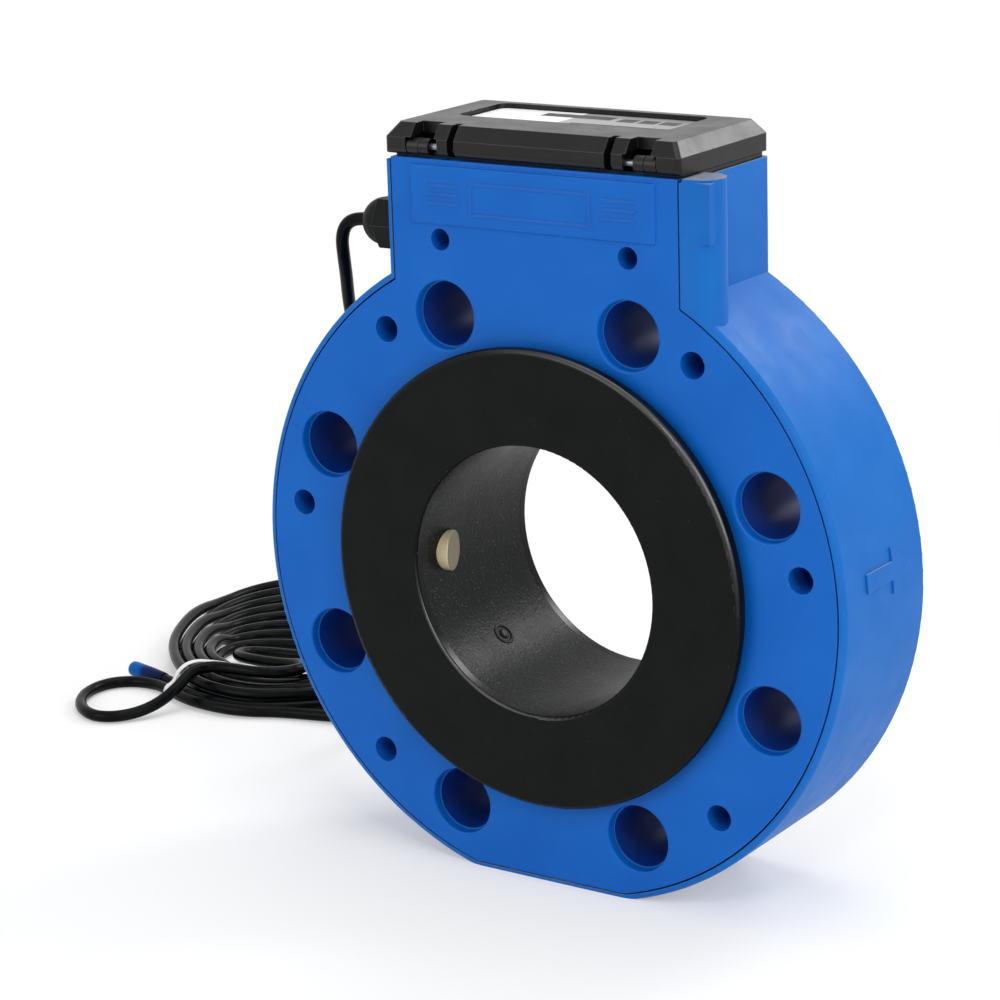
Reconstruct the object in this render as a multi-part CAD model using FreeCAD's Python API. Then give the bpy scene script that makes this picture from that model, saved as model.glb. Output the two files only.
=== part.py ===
import FreeCAD, Part
import math
import os

# A wafer ultrasonic flow meter: a lined bore held between two pipe flanges, two sensors in the bore wall,
# a register neck with a hinged lid, and a signal cable tied in a coil beside the foot.
# +Y is the direction of flow along the bore, +Z is up, the origin is the middle of the bore, in millimetres.

# Flange bolts, which set the size of the ring
bolt_count = 8
bolt_circle = 160.0
bolt_hole_radius = 9.5
bolt_tube_wall = 2.3
bolt_mouth_step = 0.5
bolt_mouth_round = 0.7
tube_rib_thickness = 2.0

# Ring and bore
bore_radius = 40.0
rim_beyond_bolts = 8.3
body_depth = 47.5
foot_cut = 4.5
housing_wall = 4.4
back_wall = 3.0
rim_width = 1.9
rim_round = 1.7
foot_rim = 0.9
seam_gap = 0.5
edge_round = 0.8

# Register neck, and the column at its front right corner
neck_half_width = 48.7
neck_rise = 20.0
neck_wall = 3.35
neck_rim = 1.0
column_radius = 6.0
column_reach = 9.6
column_sink = 8.0
column_rise = 1.1
pad_width = 6.0
pad_reach = 8.6
pad_drop = 0.8
pad_height = 16.6

# Front cover, its seal and its screws
cover_thickness = 3.0
cover_rise = 0.8
cover_seal_thickness = 0.8
cover_seal_width = 1.8
well_radius = 3.9
neck_well_radius = 3.2
well_depth = 12.0
well_wall = 1.3
well_floor = 2.0
screw_inset = 12.8
screw_angles = (53.0, 7.8, -47.2)
neck_screw_inset = 17.6
neck_screw_drop = 4.4
screw_boss_radius = 4.2
screw_radius = 1.5
screw_length = 14.0
screw_head_radius = 2.75
screw_head_height = 2.2
screw_hole_clearance = 0.25
pilot_clearance = 0.03
pilot_spare_depth = 2.0

# Raised panel on the cover's neck
panel_side = 8.4
panel_top_gap = 1.4
panel_height = 17.0
panel_rise = 0.8
panel_round = 0.6
frame_side = 20.4
frame_below = 3.3
frame_height = 9.4
frame_line = 0.6
relief_rise = 0.3
bar_count = 3
bar_gap = 3.9
bar_length = 10.8
bar_line = 0.7
bar_below = 5.7
bar_pitch = 2.6

# Flow tube and its gaskets
face_rise = 5.5
gasket_web = 3.5
gasket_wall = 2.7
gasket_lip_height = 2.0
gasket_lip_reach = 1.2
gasket_face_round = 1.8
gasket_lip_round = 0.6
gasket_bore_round = 1.0
gasket_clearance = 0.2
spool_bolt_gap = 6.5
spool_neck_clearance = 0.3
spool_shoulder = 2.6
spool_shoulder_thickness = 5.0
spool_wall = 6.5

# Sensors, one each side of the bore, aimed at each other
sensor_radius = 6.0
sensor_side_gap = 8.05
sensor_rise = 2.1
sensor_face_round = 0.4
sensor_seat_floor = 0.3
sensor_flange_step = 0.8
sensor_flange_thickness = 3.0
sensor_tail_radius = 3.2
sensor_tail_length = 5.0
sensor_clearance = 0.1
sensor_boss_wall = 2.1
sensor_boss_height = 14.0
seal_section = 0.7
seal_clearance = 0.04
sensor_nut_length = 4.0
sensor_nut_clearance = 0.1
sensor_lead_radius = 0.75
lead_stand_off = 4.5
lead_angles = (8.0, 20.0, 32.0, 44.0, 56.0, 68.0)
lead_tube_gap = 5.5
lead_rise_runs = 3
lead_sway = 1.0

# Lid and its hinge, whose places are counted from the lid's sides
lid_side_inset = 0.2
lid_front_overhang = 1.0
lid_rear_overhang = 0.5
lid_lift = 1.6
lid_side_height = 5.0
lid_chamfer_height = 4.0
lid_chamfer_run = 3.0
lid_corner_radius = 1.6
lid_wall = 2.2
lid_roof = 3.4
hinge_barrel_radius = 2.5
hinge_wall_behind = 2.75
corner_block = 7.1
hinge_side_gap = 0.4
knuckle_length = 7.1
pin_show = 3.4
tongue_width = 3.4
slot_width = 2.4
slot_depth = 6.0
bay_height = 5.2
bay_depth = 6.8
notch_tongue_gap = 1.0
notch_block_gap = 1.9
knuckle_clearance = 0.1
knuckle_groove_from = 3.0
knuckle_groove_width = 0.4
knuckle_groove_depth = 0.35
pin_radius = 1.0
pin_tongue_inset = 0.3
pin_side_inset = 2.3
pin_press_clearance = 0.02
pin_running_clearance = 0.05
pin_end_room = 0.3
recess_side = 13.3
recess_shift = -1.7
recess_front_margin = 18.95
recess_rear_margin = 5.55
recess_depth = 1.8
recess_corner = 3.5
label_margin = 0.6
label_thickness = 0.4

# Register frame and what it carries
lid_gap = 0.3
frame_side_inset = 0.6
frame_rear_inset = 1.5
frame_corner = 1.2
register_seal_thickness = 0.6
plug_clearance = 0.35
plug_wall = 2.0
plug_depth = 11.8
deck_thickness = 2.5
window_post_gap_x = 2.0
window_post_gap_y = 0.4
window_thickness = 1.5
window_ledge = 2.0
window_clearance = 0.1
lcd_side_x = 2.9
lcd_side_y = 1.9
lcd_thickness = 4.6
lcd_gap = 0.2
board_clearance = 0.6
board_thickness = 1.6
post_inset = 2.5
post_radius = 2.2
board_screw_radius = 1.0
board_screw_length = 4.0
board_screw_head_radius = 2.0
board_screw_head_height = 1.3
battery_radius = 8.5
battery_end_gap = 0.6
battery_nub_radius = 2.75
battery_nub_length = 1.5
clip_clearance = 0.2
clip_wall = 1.4
clip_end = 5.25
clip_pad_inset = 2.6
clip_pad_thickness = 1.5
clip_mouth_drop = 5.0

# Cable gland on the left of the neck
gland_hex = 15.0
gland_above_ring = 1.9
gland_hex_thickness = 4.5
gland_shank_radius = 6.0
gland_hole_clearance = 0.15
gland_shank_spare = 0.5
gland_neck_radius = 5.6
gland_neck_length = 11.0
gland_seal_radius = 4.8
gland_seal_length = 11.0
gland_seal_clearance = 0.1
gland_nut_hex = 14.6
gland_nut_gap = 0.4
gland_nut_hex_length = 13.3
gland_dome_radius = 7.2
gland_tip_flat = 0.5
gland_tip_wall = 2.8
locknut_hex = 14.0
locknut_thickness = 3.3

# Signal cable from the gland's tip: how far out, how far back, and what share of its height it still has
cable_radius = 2.0
cable_clearance = 0.1
inner_lead_inset = 10.7
inner_lead_bend = 3.3
lead_route = [
    (4.4, 0.0, 1.0),
    (8.6, 0.2, 0.988),
    (10.8, 0.8, 0.964),
    (12.0, 3.0, 0.932),
    (14.6, 7.4, 0.891),
    (18.4, 13.6, 0.840),
    (22.0, 21.6, 0.773),
    (24.8, 29.6, 0.689),
    (26.8, 36.4, 0.589),
    (27.8, 41.6, 0.481),
    (28.6, 45.6, 0.374),
    (29.8, 49.0, 0.271),
    (32.4, 52.0, 0.177),
    (37.2, 54.8, 0.096),
    (45.0, 57.2, 0.036),
    (56.2, 57.8, 0.005),
    (67.6, 55.8, 0.001),
    (78.0, 53.6, 0.0),
    (89.0, 54.0, 0.0),
]

# Coil, loop, tie and end cap: how far out from the gland's tip, how far back, and how high above the floor
loop_route = [
    (129.0, 50.8, 2.1),
    (138.6, 51.4, 2.1),
    (147.6, 50.8, 2.1),
    (154.2, 45.4, 2.1),
    (154.6, 35.0, 2.1),
    (148.6, 25.0, 2.1),
    (138.4, 19.0, 2.1),
    (130.6, 22.6, 2.3),
    (127.6, 30.4, 3.6),
    (127.0, 38.6, 6.4),
    (127.2, 46.4, 9.2),
    (125.4, 52.5, 9.6),
]
tail_start = (129.8, 54.8, 2.8)
cap_tip = (157.0, 61.0, 2.8)
tail_length = 13.2
cap_radius = 2.75
cap_round = 1.2
coil_near = (108.4, 80.5)
coil_near_radius = 38.0
coil_far = (115.6, 141.0)
coil_far_radius = 65.0
coil_hole_radius = 13.0
coil_height = 12.4
coil_round = 3.0
tie_angle = 252.0
tie_thickness = 1.2
tie_width = 2.4
tie_clearance = 0.2
bend_share = 0.45

# Cutters run past the surface that they open by this much
margin = 1.0

V = FreeCAD.Vector
X_AXIS = V(1, 0, 0)
Y_AXIS = V(0, 1, 0)
Z_AXIS = V(0, 0, 1)
FULL_TURN = 360.0
SIDES = (-1, 1)

# Places that several pieces share: the ring and the neck
bolt_radius = bolt_circle / 2
body_radius = bolt_radius + bolt_hole_radius + rim_beyond_bolts
foot_drop = body_radius - foot_cut
front = -body_depth / 2
rear = body_depth / 2
floor_z = -foot_drop
cover_back = front + cover_thickness
back_inner = rear - back_wall
neck_top = body_radius + neck_rise
cover_top = neck_top + cover_rise
neck_inner_x = neck_half_width - neck_wall

# Flow tube and sensors
spool_neck_radius = bolt_radius - bolt_hole_radius - spool_bolt_gap
gasket_radius = spool_neck_radius + gasket_clearance + gasket_wall
spool_end = rear + face_rise - gasket_web
opening_radius = spool_neck_radius + spool_neck_clearance
sensor_offset = back_inner - sensor_side_gap
sensor_tilt = math.atan2(sensor_offset, bore_radius - sensor_rise)
sensor_flange_radius = sensor_radius + sensor_flange_step
sensor_seat = bore_radius + spool_wall - sensor_seat_floor
sensor_flange_start = sensor_seat + seal_section + 2 * seal_clearance
sensor_flange_end = sensor_flange_start + sensor_flange_thickness

# Cover panel and screws
panel_half_width = neck_half_width - panel_side
panel_bottom = cover_top - panel_top_gap - panel_height
frame_half_width = panel_half_width - frame_side
screw_circle_radius = body_radius - screw_inset
neck_screw_x = neck_half_width - neck_screw_inset
neck_screw_z = panel_bottom - neck_screw_drop
well_end = front + well_depth + well_floor
neck_boss_inner_x = neck_screw_x - neck_well_radius - well_wall

# Lid and hinge
lid_half_width = neck_half_width - lid_side_inset
lid_bottom = neck_top + lid_lift
lid_front = front - lid_front_overhang
lid_rear = rear + lid_rear_overhang
lid_top = lid_bottom + lid_side_height + lid_chamfer_height
pivot_y = lid_front + hinge_barrel_radius
pivot_z = lid_bottom + hinge_barrel_radius
bay_end = lid_half_width - corner_block
knuckle_end = bay_end - hinge_side_gap
knuckle_start = knuckle_end - knuckle_length
tongue_end = knuckle_start - pin_show
tongue_start = tongue_end - tongue_width
pin_start = tongue_start + pin_tongue_inset
pin_end = lid_half_width - pin_side_inset
recess_half_width = lid_half_width - recess_side
recess_front = lid_front + recess_front_margin
recess_rear = lid_rear - recess_rear_margin

# Register
frame_top = lid_bottom - lid_gap
frame_seat = neck_top + register_seal_thickness
frame_front = cover_back + plug_clearance
frame_back = rear - frame_rear_inset
plug_x = neck_inner_x - plug_clearance
plug_back = back_inner - plug_clearance
deck_bottom = frame_top - deck_thickness
board_half_width = plug_x - plug_wall - board_clearance
board_half_depth = min(plug_back, -frame_front) - plug_wall - board_clearance
board_top = deck_bottom - lcd_gap - lcd_thickness
board_bottom = board_top - board_thickness
post_x = board_half_width - post_inset
post_y = board_half_depth - post_inset
window_half_width = post_x - window_post_gap_x
window_half_depth = post_y - window_post_gap_y
lcd_half_width = window_half_width - window_ledge - lcd_side_x
lcd_half_depth = window_half_depth - window_ledge - lcd_side_y
battery_length = 2 * (neck_boss_inner_x - battery_end_gap) - battery_nub_length
clip_radius = battery_radius + clip_clearance + clip_wall
clip_half_length = battery_length / 2 - clip_end
clip_pad_half_width = clip_radius - clip_pad_inset
battery_z = board_bottom - clip_pad_thickness / 2 - clip_radius

# Gland
gland_z = math.sqrt(body_radius ** 2 - neck_half_width ** 2) + gland_above_ring + gland_hex / 2
gland_hex_end = neck_half_width + gland_hex_thickness
gland_neck_end = gland_hex_end + gland_neck_length
gland_nut_start = gland_hex_end + gland_nut_gap
gland_nut_hex_end = gland_nut_start + gland_nut_hex_length
gland_tip = -(gland_nut_hex_end + gland_dome_radius - gland_tip_flat)
cable_fall = gland_z - floor_z - cable_radius


def block(x0, x1, y0, y1, z0, z1):
    return Part.makeBox(x1 - x0, y1 - y0, z1 - z0, V(x0, y0, z0))


def rod_y(radius, y0, y1, x=0.0, z=0.0):
    return Part.makeCylinder(radius, y1 - y0, V(x, y0, z), Y_AXIS)


def rod_z(radius, z0, z1, x=0.0, y=0.0):
    return Part.makeCylinder(radius, z1 - z0, V(x, y, z0), Z_AXIS)


def rod_out(side, radius, near, far, y=0.0, z=0.0):
    """A rod along X on one side, between two distances from the middle."""
    return Part.makeCylinder(radius, far - near, V(side * near, y, z), V(side, 0, 0))


def hexagon_out(side, across_flats, near, far, y, z):
    corner = across_flats / math.sqrt(3)
    points = []
    for k in range(7):
        a = math.radians(60 * k)
        points.append(V(side * near, y + corner * math.cos(a), z + corner * math.sin(a)))
    return Part.Face(Part.makePolygon(points)).extrude(V(side * (far - near), 0, 0))


def turned_y(profile):
    """A solid of revolution about the bore axis, from (radius, y) points."""
    points = [V(r, y, 0) for r, y in profile]
    return Part.Face(Part.makePolygon(points + points[:1])).revolve(V(0, 0, 0), Y_AXIS, FULL_TURN)


def rounded_rectangle(x0, x1, y0, y1, z, radius):
    """A level wire with round corners."""
    corners = [(x1, y1, 1, 1), (x0, y1, -1, 1), (x0, y0, -1, -1), (x1, y0, 1, -1)]
    slant = radius * math.sqrt(0.5)
    arcs = []
    for x, y, sx, sy in corners:
        centre = V(x - sx * radius, y - sy * radius, z)
        ends = [centre + V(sx * radius, 0, 0), centre + V(0, sy * radius, 0)]
        if sx != sy:
            ends.reverse()
        arcs.append([ends[0], centre + V(sx * slant, sy * slant, 0), ends[1]])
    edges = []
    for k, arc in enumerate(arcs):
        edges.append(Part.Arc(*arc).toShape())
        edges.append(Part.makeLine(arc[2], arcs[(k + 1) % len(arcs)][0]))
    return Part.Wire(edges)


def rounded_slab(x0, x1, y0, y1, z0, z1, radius):
    return Part.Face(rounded_rectangle(x0, x1, y0, y1, z0, radius)).extrude(V(0, 0, z1 - z0))


def fused(first, *others):
    return first.fuse(list(others)).removeSplitter()


def round_where(shape, radius, test):
    return shape.makeFillet(radius, [e for e in shape.Edges if not e.Degenerated and test(e)])


def is_ring(edge, radius, y):
    """True for a full circle about a bore-wise axis, of that radius and at that place along the bore."""
    curve = edge.Curve
    same = isinstance(curve, Part.Circle) and math.isclose(curve.Radius, radius, abs_tol=1e-6)
    return same and math.isclose(curve.Center.y, y, abs_tol=1e-6)


def is_upright(edge, y):
    """True for an upright edge at that place along the bore."""
    upright = abs(edge.Vertexes[0].Z - edge.Vertexes[-1].Z) > margin
    return upright and all(math.isclose(v.Y, y, abs_tol=1e-6) for v in edge.Vertexes)


def meter_block(inset, neck_inset, foot_inset, y0, y1, top, rounded=False):
    """The ring with its flat foot and its neck, drawn in by the insets, with its edges rounded if asked."""
    radius = body_radius - inset
    ring = rod_y(radius, y0, y1)
    half = neck_half_width - neck_inset
    neck = block(-half, half, y0, y1, 0, top)
    if rounded:
        ring = round_where(ring, rim_round, lambda e: is_ring(e, radius, y0))
        ring = round_where(ring, edge_round, lambda e: is_ring(e, radius, y1))
        neck = round_where(neck, edge_round, lambda e: is_upright(e, y1))
    foot_level = foot_inset - foot_drop
    below = block(-body_radius, body_radius, y0 - margin, y1 + margin, -2 * body_radius, foot_level)
    return fused(ring.cut(below), neck)


def bolt_spots():
    for k in range(bolt_count):
        a = math.radians(FULL_TURN / bolt_count * (k + 0.5))
        yield bolt_radius * math.cos(a), bolt_radius * math.sin(a)


def screw_spots():
    """Cover screws as (x, z, well radius), mirrored about the middle."""
    for side in SIDES:
        for angle in screw_angles:
            a = math.radians(angle)
            yield side * screw_circle_radius * math.cos(a), screw_circle_radius * math.sin(a), well_radius
        yield side * neck_screw_x, neck_screw_z, neck_well_radius


def column():
    """The round-fronted post beside the neck, with a square pad near its top."""
    x0 = neck_half_width - neck_rim
    column_foot = math.sqrt(body_radius ** 2 - (neck_half_width + column_reach) ** 2) - column_sink
    centre_x = neck_half_width + column_reach - column_radius
    column_top = neck_top + column_rise
    post = block(x0, centre_x, front, front + 2 * column_radius, column_foot, column_top)
    nose = rod_z(column_radius, column_foot, column_top, centre_x, front + column_radius)
    pad_x = neck_half_width + pad_reach
    pad_top = column_top - pad_drop
    pad = block(pad_x - pad_width, pad_x, front, front + column_radius, pad_top - pad_height, pad_top)
    over_neck = block(0, neck_half_width, front, rear, neck_top, column_top)
    return fused(post, nose, pad).cut(over_neck)


def rear_housing():
    body = fused(meter_block(0, 0, 0, front, rear, neck_top, True), column())
    over = neck_top + margin
    depth = cover_back + cover_seal_thickness
    pocket = meter_block(rim_width, neck_rim, foot_rim, front - margin, depth, over)
    cavity = meter_block(housing_wall, neck_wall, housing_wall, front - margin, back_inner, over)
    body = body.cut(pocket.fuse(cavity))
    added = []
    tube_radius = bolt_hole_radius + bolt_tube_wall
    reach = body_radius - housing_wall / 2
    for x, z in bolt_spots():
        added.append(rod_y(tube_radius, cover_back, rear - margin, x, z))
        half = tube_rib_thickness / 2
        rib = block(0, reach, cover_back + well_depth, rear - margin, -half, half)
        rib = rib.cut(rod_y(bolt_radius, front, rear))
        added.append(rib.rotate(V(0, 0, 0), Y_AXIS, -math.degrees(math.atan2(z, x))))
    for x, z, _ in screw_spots():
        added.append(rod_y(screw_boss_radius, well_end, rear - margin, x, z))
    body = fused(body, *added)
    cuts = [rod_y(opening_radius, front, rear + margin)]
    for x, z in bolt_spots():
        cuts.append(rod_y(bolt_hole_radius, front - margin, rear + margin, x, z))
    for x, z, _ in screw_spots():
        pilot_end = front + well_depth + screw_length + pilot_spare_depth
        cuts.append(rod_y(screw_radius + pilot_clearance, well_end - margin, pilot_end, x, z))
    hole = gland_shank_radius + gland_hole_clearance
    cuts.append(rod_out(-1, hole, neck_inner_x - margin, neck_half_width + margin, 0, gland_z))
    return body.cut(cuts)


def cover_relief():
    """The raised panel on the neck, with a line frame and bars on it."""
    face = front - panel_rise
    top = panel_bottom + panel_height
    panel = block(-panel_half_width, panel_half_width, face, front + margin, panel_bottom, top)
    panel = round_where(panel, panel_round, lambda e: any(abs(v.Y - face) < 1e-6 for v in e.Vertexes))
    line_face = face - relief_rise
    frame_bottom = panel_bottom + frame_below
    frame_end = frame_bottom + frame_height
    frame = block(-frame_half_width, frame_half_width, line_face, front, frame_bottom, frame_end)
    inside = frame_half_width - frame_line
    low, high = frame_bottom + frame_line, frame_end - frame_line
    frame = frame.cut(block(-inside, inside, line_face, front, low, high))
    lines = [frame]
    for side in SIDES:
        near = frame_half_width + bar_gap
        ends = sorted((side * near, side * (near + bar_length)))
        for k in range(bar_count):
            z = panel_bottom + bar_below + k * bar_pitch
            lines.append(block(ends[0], ends[1], line_face, front, z, z + bar_line))
    return fused(panel, *lines)


def front_cover():
    insets = [rim + seam_gap for rim in (rim_width, neck_rim, foot_rim)]
    plate = meter_block(*insets, front, cover_back, cover_top)
    added = [cover_relief()]
    for x, z, radius in screw_spots():
        added.append(rod_y(radius + well_wall, front, well_end, x, z))
    plate = fused(plate, *added)
    mouth_radius = bolt_hole_radius + bolt_mouth_step
    cuts = [rod_y(opening_radius, front - margin, rear)]
    for x, z in bolt_spots():
        cuts.append(rod_y(mouth_radius, front - margin, cover_back + margin, x, z))
    for x, z, radius in screw_spots():
        cuts.append(rod_y(radius, front - margin, front + well_depth, x, z))
        cuts.append(rod_y(screw_radius + screw_hole_clearance, front, well_end + margin, x, z))
    plate = plate.cut(cuts)
    return round_where(plate, bolt_mouth_round, lambda e: is_ring(e, mouth_radius, front))


def cover_seal():
    y0 = cover_back
    y1 = cover_back + cover_seal_thickness
    insets = [rim_width + seam_gap, neck_rim + seam_gap, foot_rim + seam_gap]
    outer = meter_block(*insets, y0, y1, neck_top)
    inner_insets = [inset + cover_seal_width for inset in insets]
    inner = meter_block(*inner_insets, y0 - margin, y1 + margin, neck_top + margin)
    return outer.cut(inner)


def cover_screws():
    screws = []
    seat = front + well_depth
    for x, z, _ in screw_spots():
        head = rod_y(screw_head_radius, seat - screw_head_height, seat, x, z)
        screws.append(fused(head, rod_y(screw_radius, seat, seat + screw_length, x, z)))
    return Part.makeCompound(screws)


def sensor_hole(side, radius, near, far):
    return rod_out(side, radius, near, far, side * sensor_offset)


def flow_tube():
    """A spool whose end necks pass through the cover and the back wall, with a boss for each sensor."""
    tube_radius = bore_radius + spool_wall
    shoulder = opening_radius + spool_shoulder
    inner_front = cover_back + spool_shoulder_thickness
    inner_rear = back_inner - spool_shoulder_thickness
    spool = turned_y([
        (bore_radius, -spool_end), (spool_neck_radius, -spool_end), (spool_neck_radius, cover_back),
        (shoulder, cover_back), (shoulder, inner_front), (tube_radius, inner_front),
        (tube_radius, inner_rear), (shoulder, inner_rear), (shoulder, back_inner),
        (spool_neck_radius, back_inner), (spool_neck_radius, spool_end), (bore_radius, spool_end),
    ])
    reach = bore_radius + sensor_boss_height
    between = block(-body_radius, body_radius, cover_back, back_inner, -body_radius, body_radius)
    inside_wall = bore_radius + spool_wall / 2
    boss_radius = sensor_flange_radius + sensor_clearance + sensor_boss_wall
    bosses = [sensor_hole(s, boss_radius, inside_wall, reach).common(between) for s in SIDES]
    spool = fused(spool, *bosses)
    cuts = [rod_y(bore_radius, -spool_end - margin, spool_end + margin)]
    for side in SIDES:
        cuts.append(sensor_hole(side, sensor_radius + sensor_clearance, 0, reach))
        cuts.append(sensor_hole(side, sensor_flange_radius + sensor_clearance, sensor_seat, reach + margin))
    return spool.cut(cuts)


def gasket(end):
    """A lipped rubber ring that caps one end of the flow tube: end is -1 upstream, 1 downstream."""
    face = rear + face_rise
    lip = rear + gasket_lip_height
    lip_radius = gasket_radius + gasket_lip_reach
    inner = spool_neck_radius + gasket_clearance
    ring = turned_y([
        (bore_radius, spool_end), (inner, spool_end), (inner, rear), (gasket_radius, rear),
        (gasket_radius, lip), (lip_radius, lip), (lip_radius, face), (bore_radius, face),
    ])
    ring = round_where(ring, gasket_face_round, lambda e: is_ring(e, lip_radius, face))
    ring = round_where(ring, gasket_lip_round, lambda e: is_ring(e, lip_radius, lip))
    ring = round_where(ring, gasket_bore_round, lambda e: is_ring(e, bore_radius, face))
    return ring if end > 0 else ring.mirror(V(0, 0, 0), Y_AXIS)


def transducer(side):
    """A sensor rod set square to the bore wall, its face cut slantwise towards the one opposite."""
    y = side * sensor_offset
    rod = rod_out(side, sensor_radius, 0, sensor_flange_start + margin, y)
    aim = V(-side * math.cos(sensor_tilt), -side * math.sin(sensor_tilt), 0)
    centre = V(side * (bore_radius - sensor_rise), y, 0)
    rod = rod.cut(Part.makeCylinder(2 * bore_radius, 2 * bore_radius, centre, aim))
    rod = round_where(rod, sensor_face_round, lambda e: isinstance(e.Curve, Part.Ellipse))
    flange = rod_out(side, sensor_flange_radius, sensor_flange_start, sensor_flange_end, y)
    tail = rod_out(side, sensor_tail_radius, sensor_flange_end, sensor_flange_end + sensor_tail_length, y)
    return fused(rod, flange, tail)


def transducer_seals():
    rings = []
    major = (sensor_radius + sensor_clearance + sensor_flange_radius) / 2
    at = sensor_seat + seal_clearance + seal_section / 2
    minor = min(seal_section / 2, (sensor_flange_radius - sensor_radius) / 2 - seal_clearance)
    for side in SIDES:
        rings.append(Part.makeTorus(major, minor, V(side * at, side * sensor_offset, 0), X_AXIS))
    return Part.makeCompound(rings)


def transducer_nuts():
    nuts = []
    near = sensor_flange_end
    far = near + sensor_nut_length
    for side in SIDES:
        ring = sensor_hole(side, sensor_flange_radius, near, far)
        hole = sensor_hole(side, sensor_tail_radius + sensor_nut_clearance, near - margin, far + margin)
        nuts.append(ring.cut(hole))
    return Part.makeCompound(nuts)


def bent_path(points, bend=None):
    """Straight runs joined by tangent arcs. Without a bend radius each arc is as large as its runs allow."""
    edges = []
    radii = []
    last = points[0]
    for before, here, after in zip(points, points[1:], points[2:]):
        back = before - here
        on = after - here
        turn = math.pi - back.getAngle(on)
        if bend is None:
            trim = bend_share * min(back.Length, on.Length)
            radius = trim / math.tan(turn / 2)
        else:
            radius = bend
            trim = radius * math.tan(turn / 2)
        start = here + back.normalize() * trim
        end = here + on.normalize() * trim
        middle = (back + on).normalize()
        centre = here + middle * math.hypot(radius, trim)
        edges.append(Part.LineSegment(last, start).toShape())
        edges.append(Part.Arc(start, centre - middle * radius, end).toShape())
        radii.append(round(radius, 1))
        last = end
    edges.append(Part.LineSegment(last, points[-1]).toShape())
    return Part.Wire(edges), radii


def cord(name, points, radius, bend=None):
    path, radii = bent_path([V(*p) for p in points], bend)
    first = V(*points[0])
    along = V(*points[1]) - first
    ring = Part.Wire(Part.makeCircle(radius, first, along))
    tube = path.makePipeShell([ring], True, False)
    exact = math.pi * radius ** 2 * path.Length
    print(name, "length", round(path.Length, 1), "volume", round(tube.Volume / exact, 4), "radii", radii)
    return tube


def transducer_leads():
    """A lead from each sensor's tail, round the flow tube and up to the circuit board."""
    start = sensor_flange_end + sensor_tail_length
    ring = start + lead_stand_off
    tube_x = bolt_radius * math.sin(math.pi / bolt_count)
    rise_x = tube_x - bolt_hole_radius - bolt_tube_wall - lead_tube_gap
    leads = []
    for side in SIDES:
        route = [(start, 0), (ring, 0)]
        for angle in lead_angles:
            a = math.radians(angle)
            route.append((ring * math.cos(a), ring * math.sin(a)))
        low = bolt_radius * math.sin(a)
        for k in range(1, lead_rise_runs + 1):
            sway = lead_sway if k == 1 else 0
            route.append((rise_x + sway, low + (board_bottom - low) * k / lead_rise_runs))
        points = [(side * x, side * sensor_offset, z) for x, z in route]
        leads.append(cord("transducer lead", points, sensor_lead_radius))
    return Part.makeCompound(leads)


def lid_outline(z, inset):
    half = lid_half_width - inset
    return rounded_rectangle(-half, half, lid_front + inset, lid_rear - inset, z, lid_corner_radius)


def lid():
    """A shallow cap with chamfered edges, a rounded front edge about the pivot, and bays for the knuckles."""
    shoulder = lid_bottom + lid_side_height
    top = lid_top
    sides = Part.Face(lid_outline(lid_bottom, 0)).extrude(V(0, 0, lid_side_height))
    crown = Part.makeLoft([lid_outline(shoulder, 0), lid_outline(top, lid_chamfer_run)], True, True)
    cap = fused(sides, crown)
    half = lid_half_width
    corner = block(-half, half, lid_front - margin, pivot_y, lid_bottom - margin, pivot_z)
    barrel = rod_out(1, hinge_barrel_radius, -half - margin, half + margin, pivot_y, pivot_z)
    cap = cap.cut(corner.cut(barrel))
    inside = half - lid_wall
    inner_front = pivot_y + hinge_wall_behind
    inner_rear = lid_rear - lid_wall
    cuts = [block(-inside, inside, inner_front, inner_rear, lid_bottom - margin, top - lid_roof)]
    recess = rounded_slab(recess_shift - recess_half_width, recess_shift + recess_half_width, recess_front,
                          recess_rear, top - recess_depth, top + margin, recess_corner)
    cuts.append(recess)
    slot_start = tongue_start - slot_width
    for side in SIDES:
        low = lid_bottom - margin
        for near, far, depth, z0, z1 in (
            (slot_start, tongue_start, slot_depth, low, top + margin),
            (tongue_end, bay_end, bay_depth, low, lid_bottom + bay_height),
            (tongue_end + notch_tongue_gap, bay_end - notch_block_gap, bay_depth, low, top + margin),
        ):
            x0, x1 = sorted((side * near, side * far))
            cuts.append(block(x0, x1, lid_front - margin, lid_front + depth, z0, z1))
        bore = pin_radius + pin_running_clearance
        cuts.append(rod_out(side, bore, slot_start, pin_end + pin_end_room, pivot_y, pivot_z))
    return cap.cut(cuts)


def lid_label():
    floor = lid_top - recess_depth
    half = recess_half_width - label_margin
    x0, x1 = recess_shift - half, recess_shift + half
    y0, y1 = recess_front + label_margin, recess_rear - label_margin
    return rounded_slab(x0, x1, y0, y1, floor, floor + label_thickness, recess_corner - label_margin)


def hinge_pins():
    return Part.makeCompound([rod_out(s, pin_radius, pin_start, pin_end, pivot_y, pivot_z) for s in SIDES])


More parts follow.
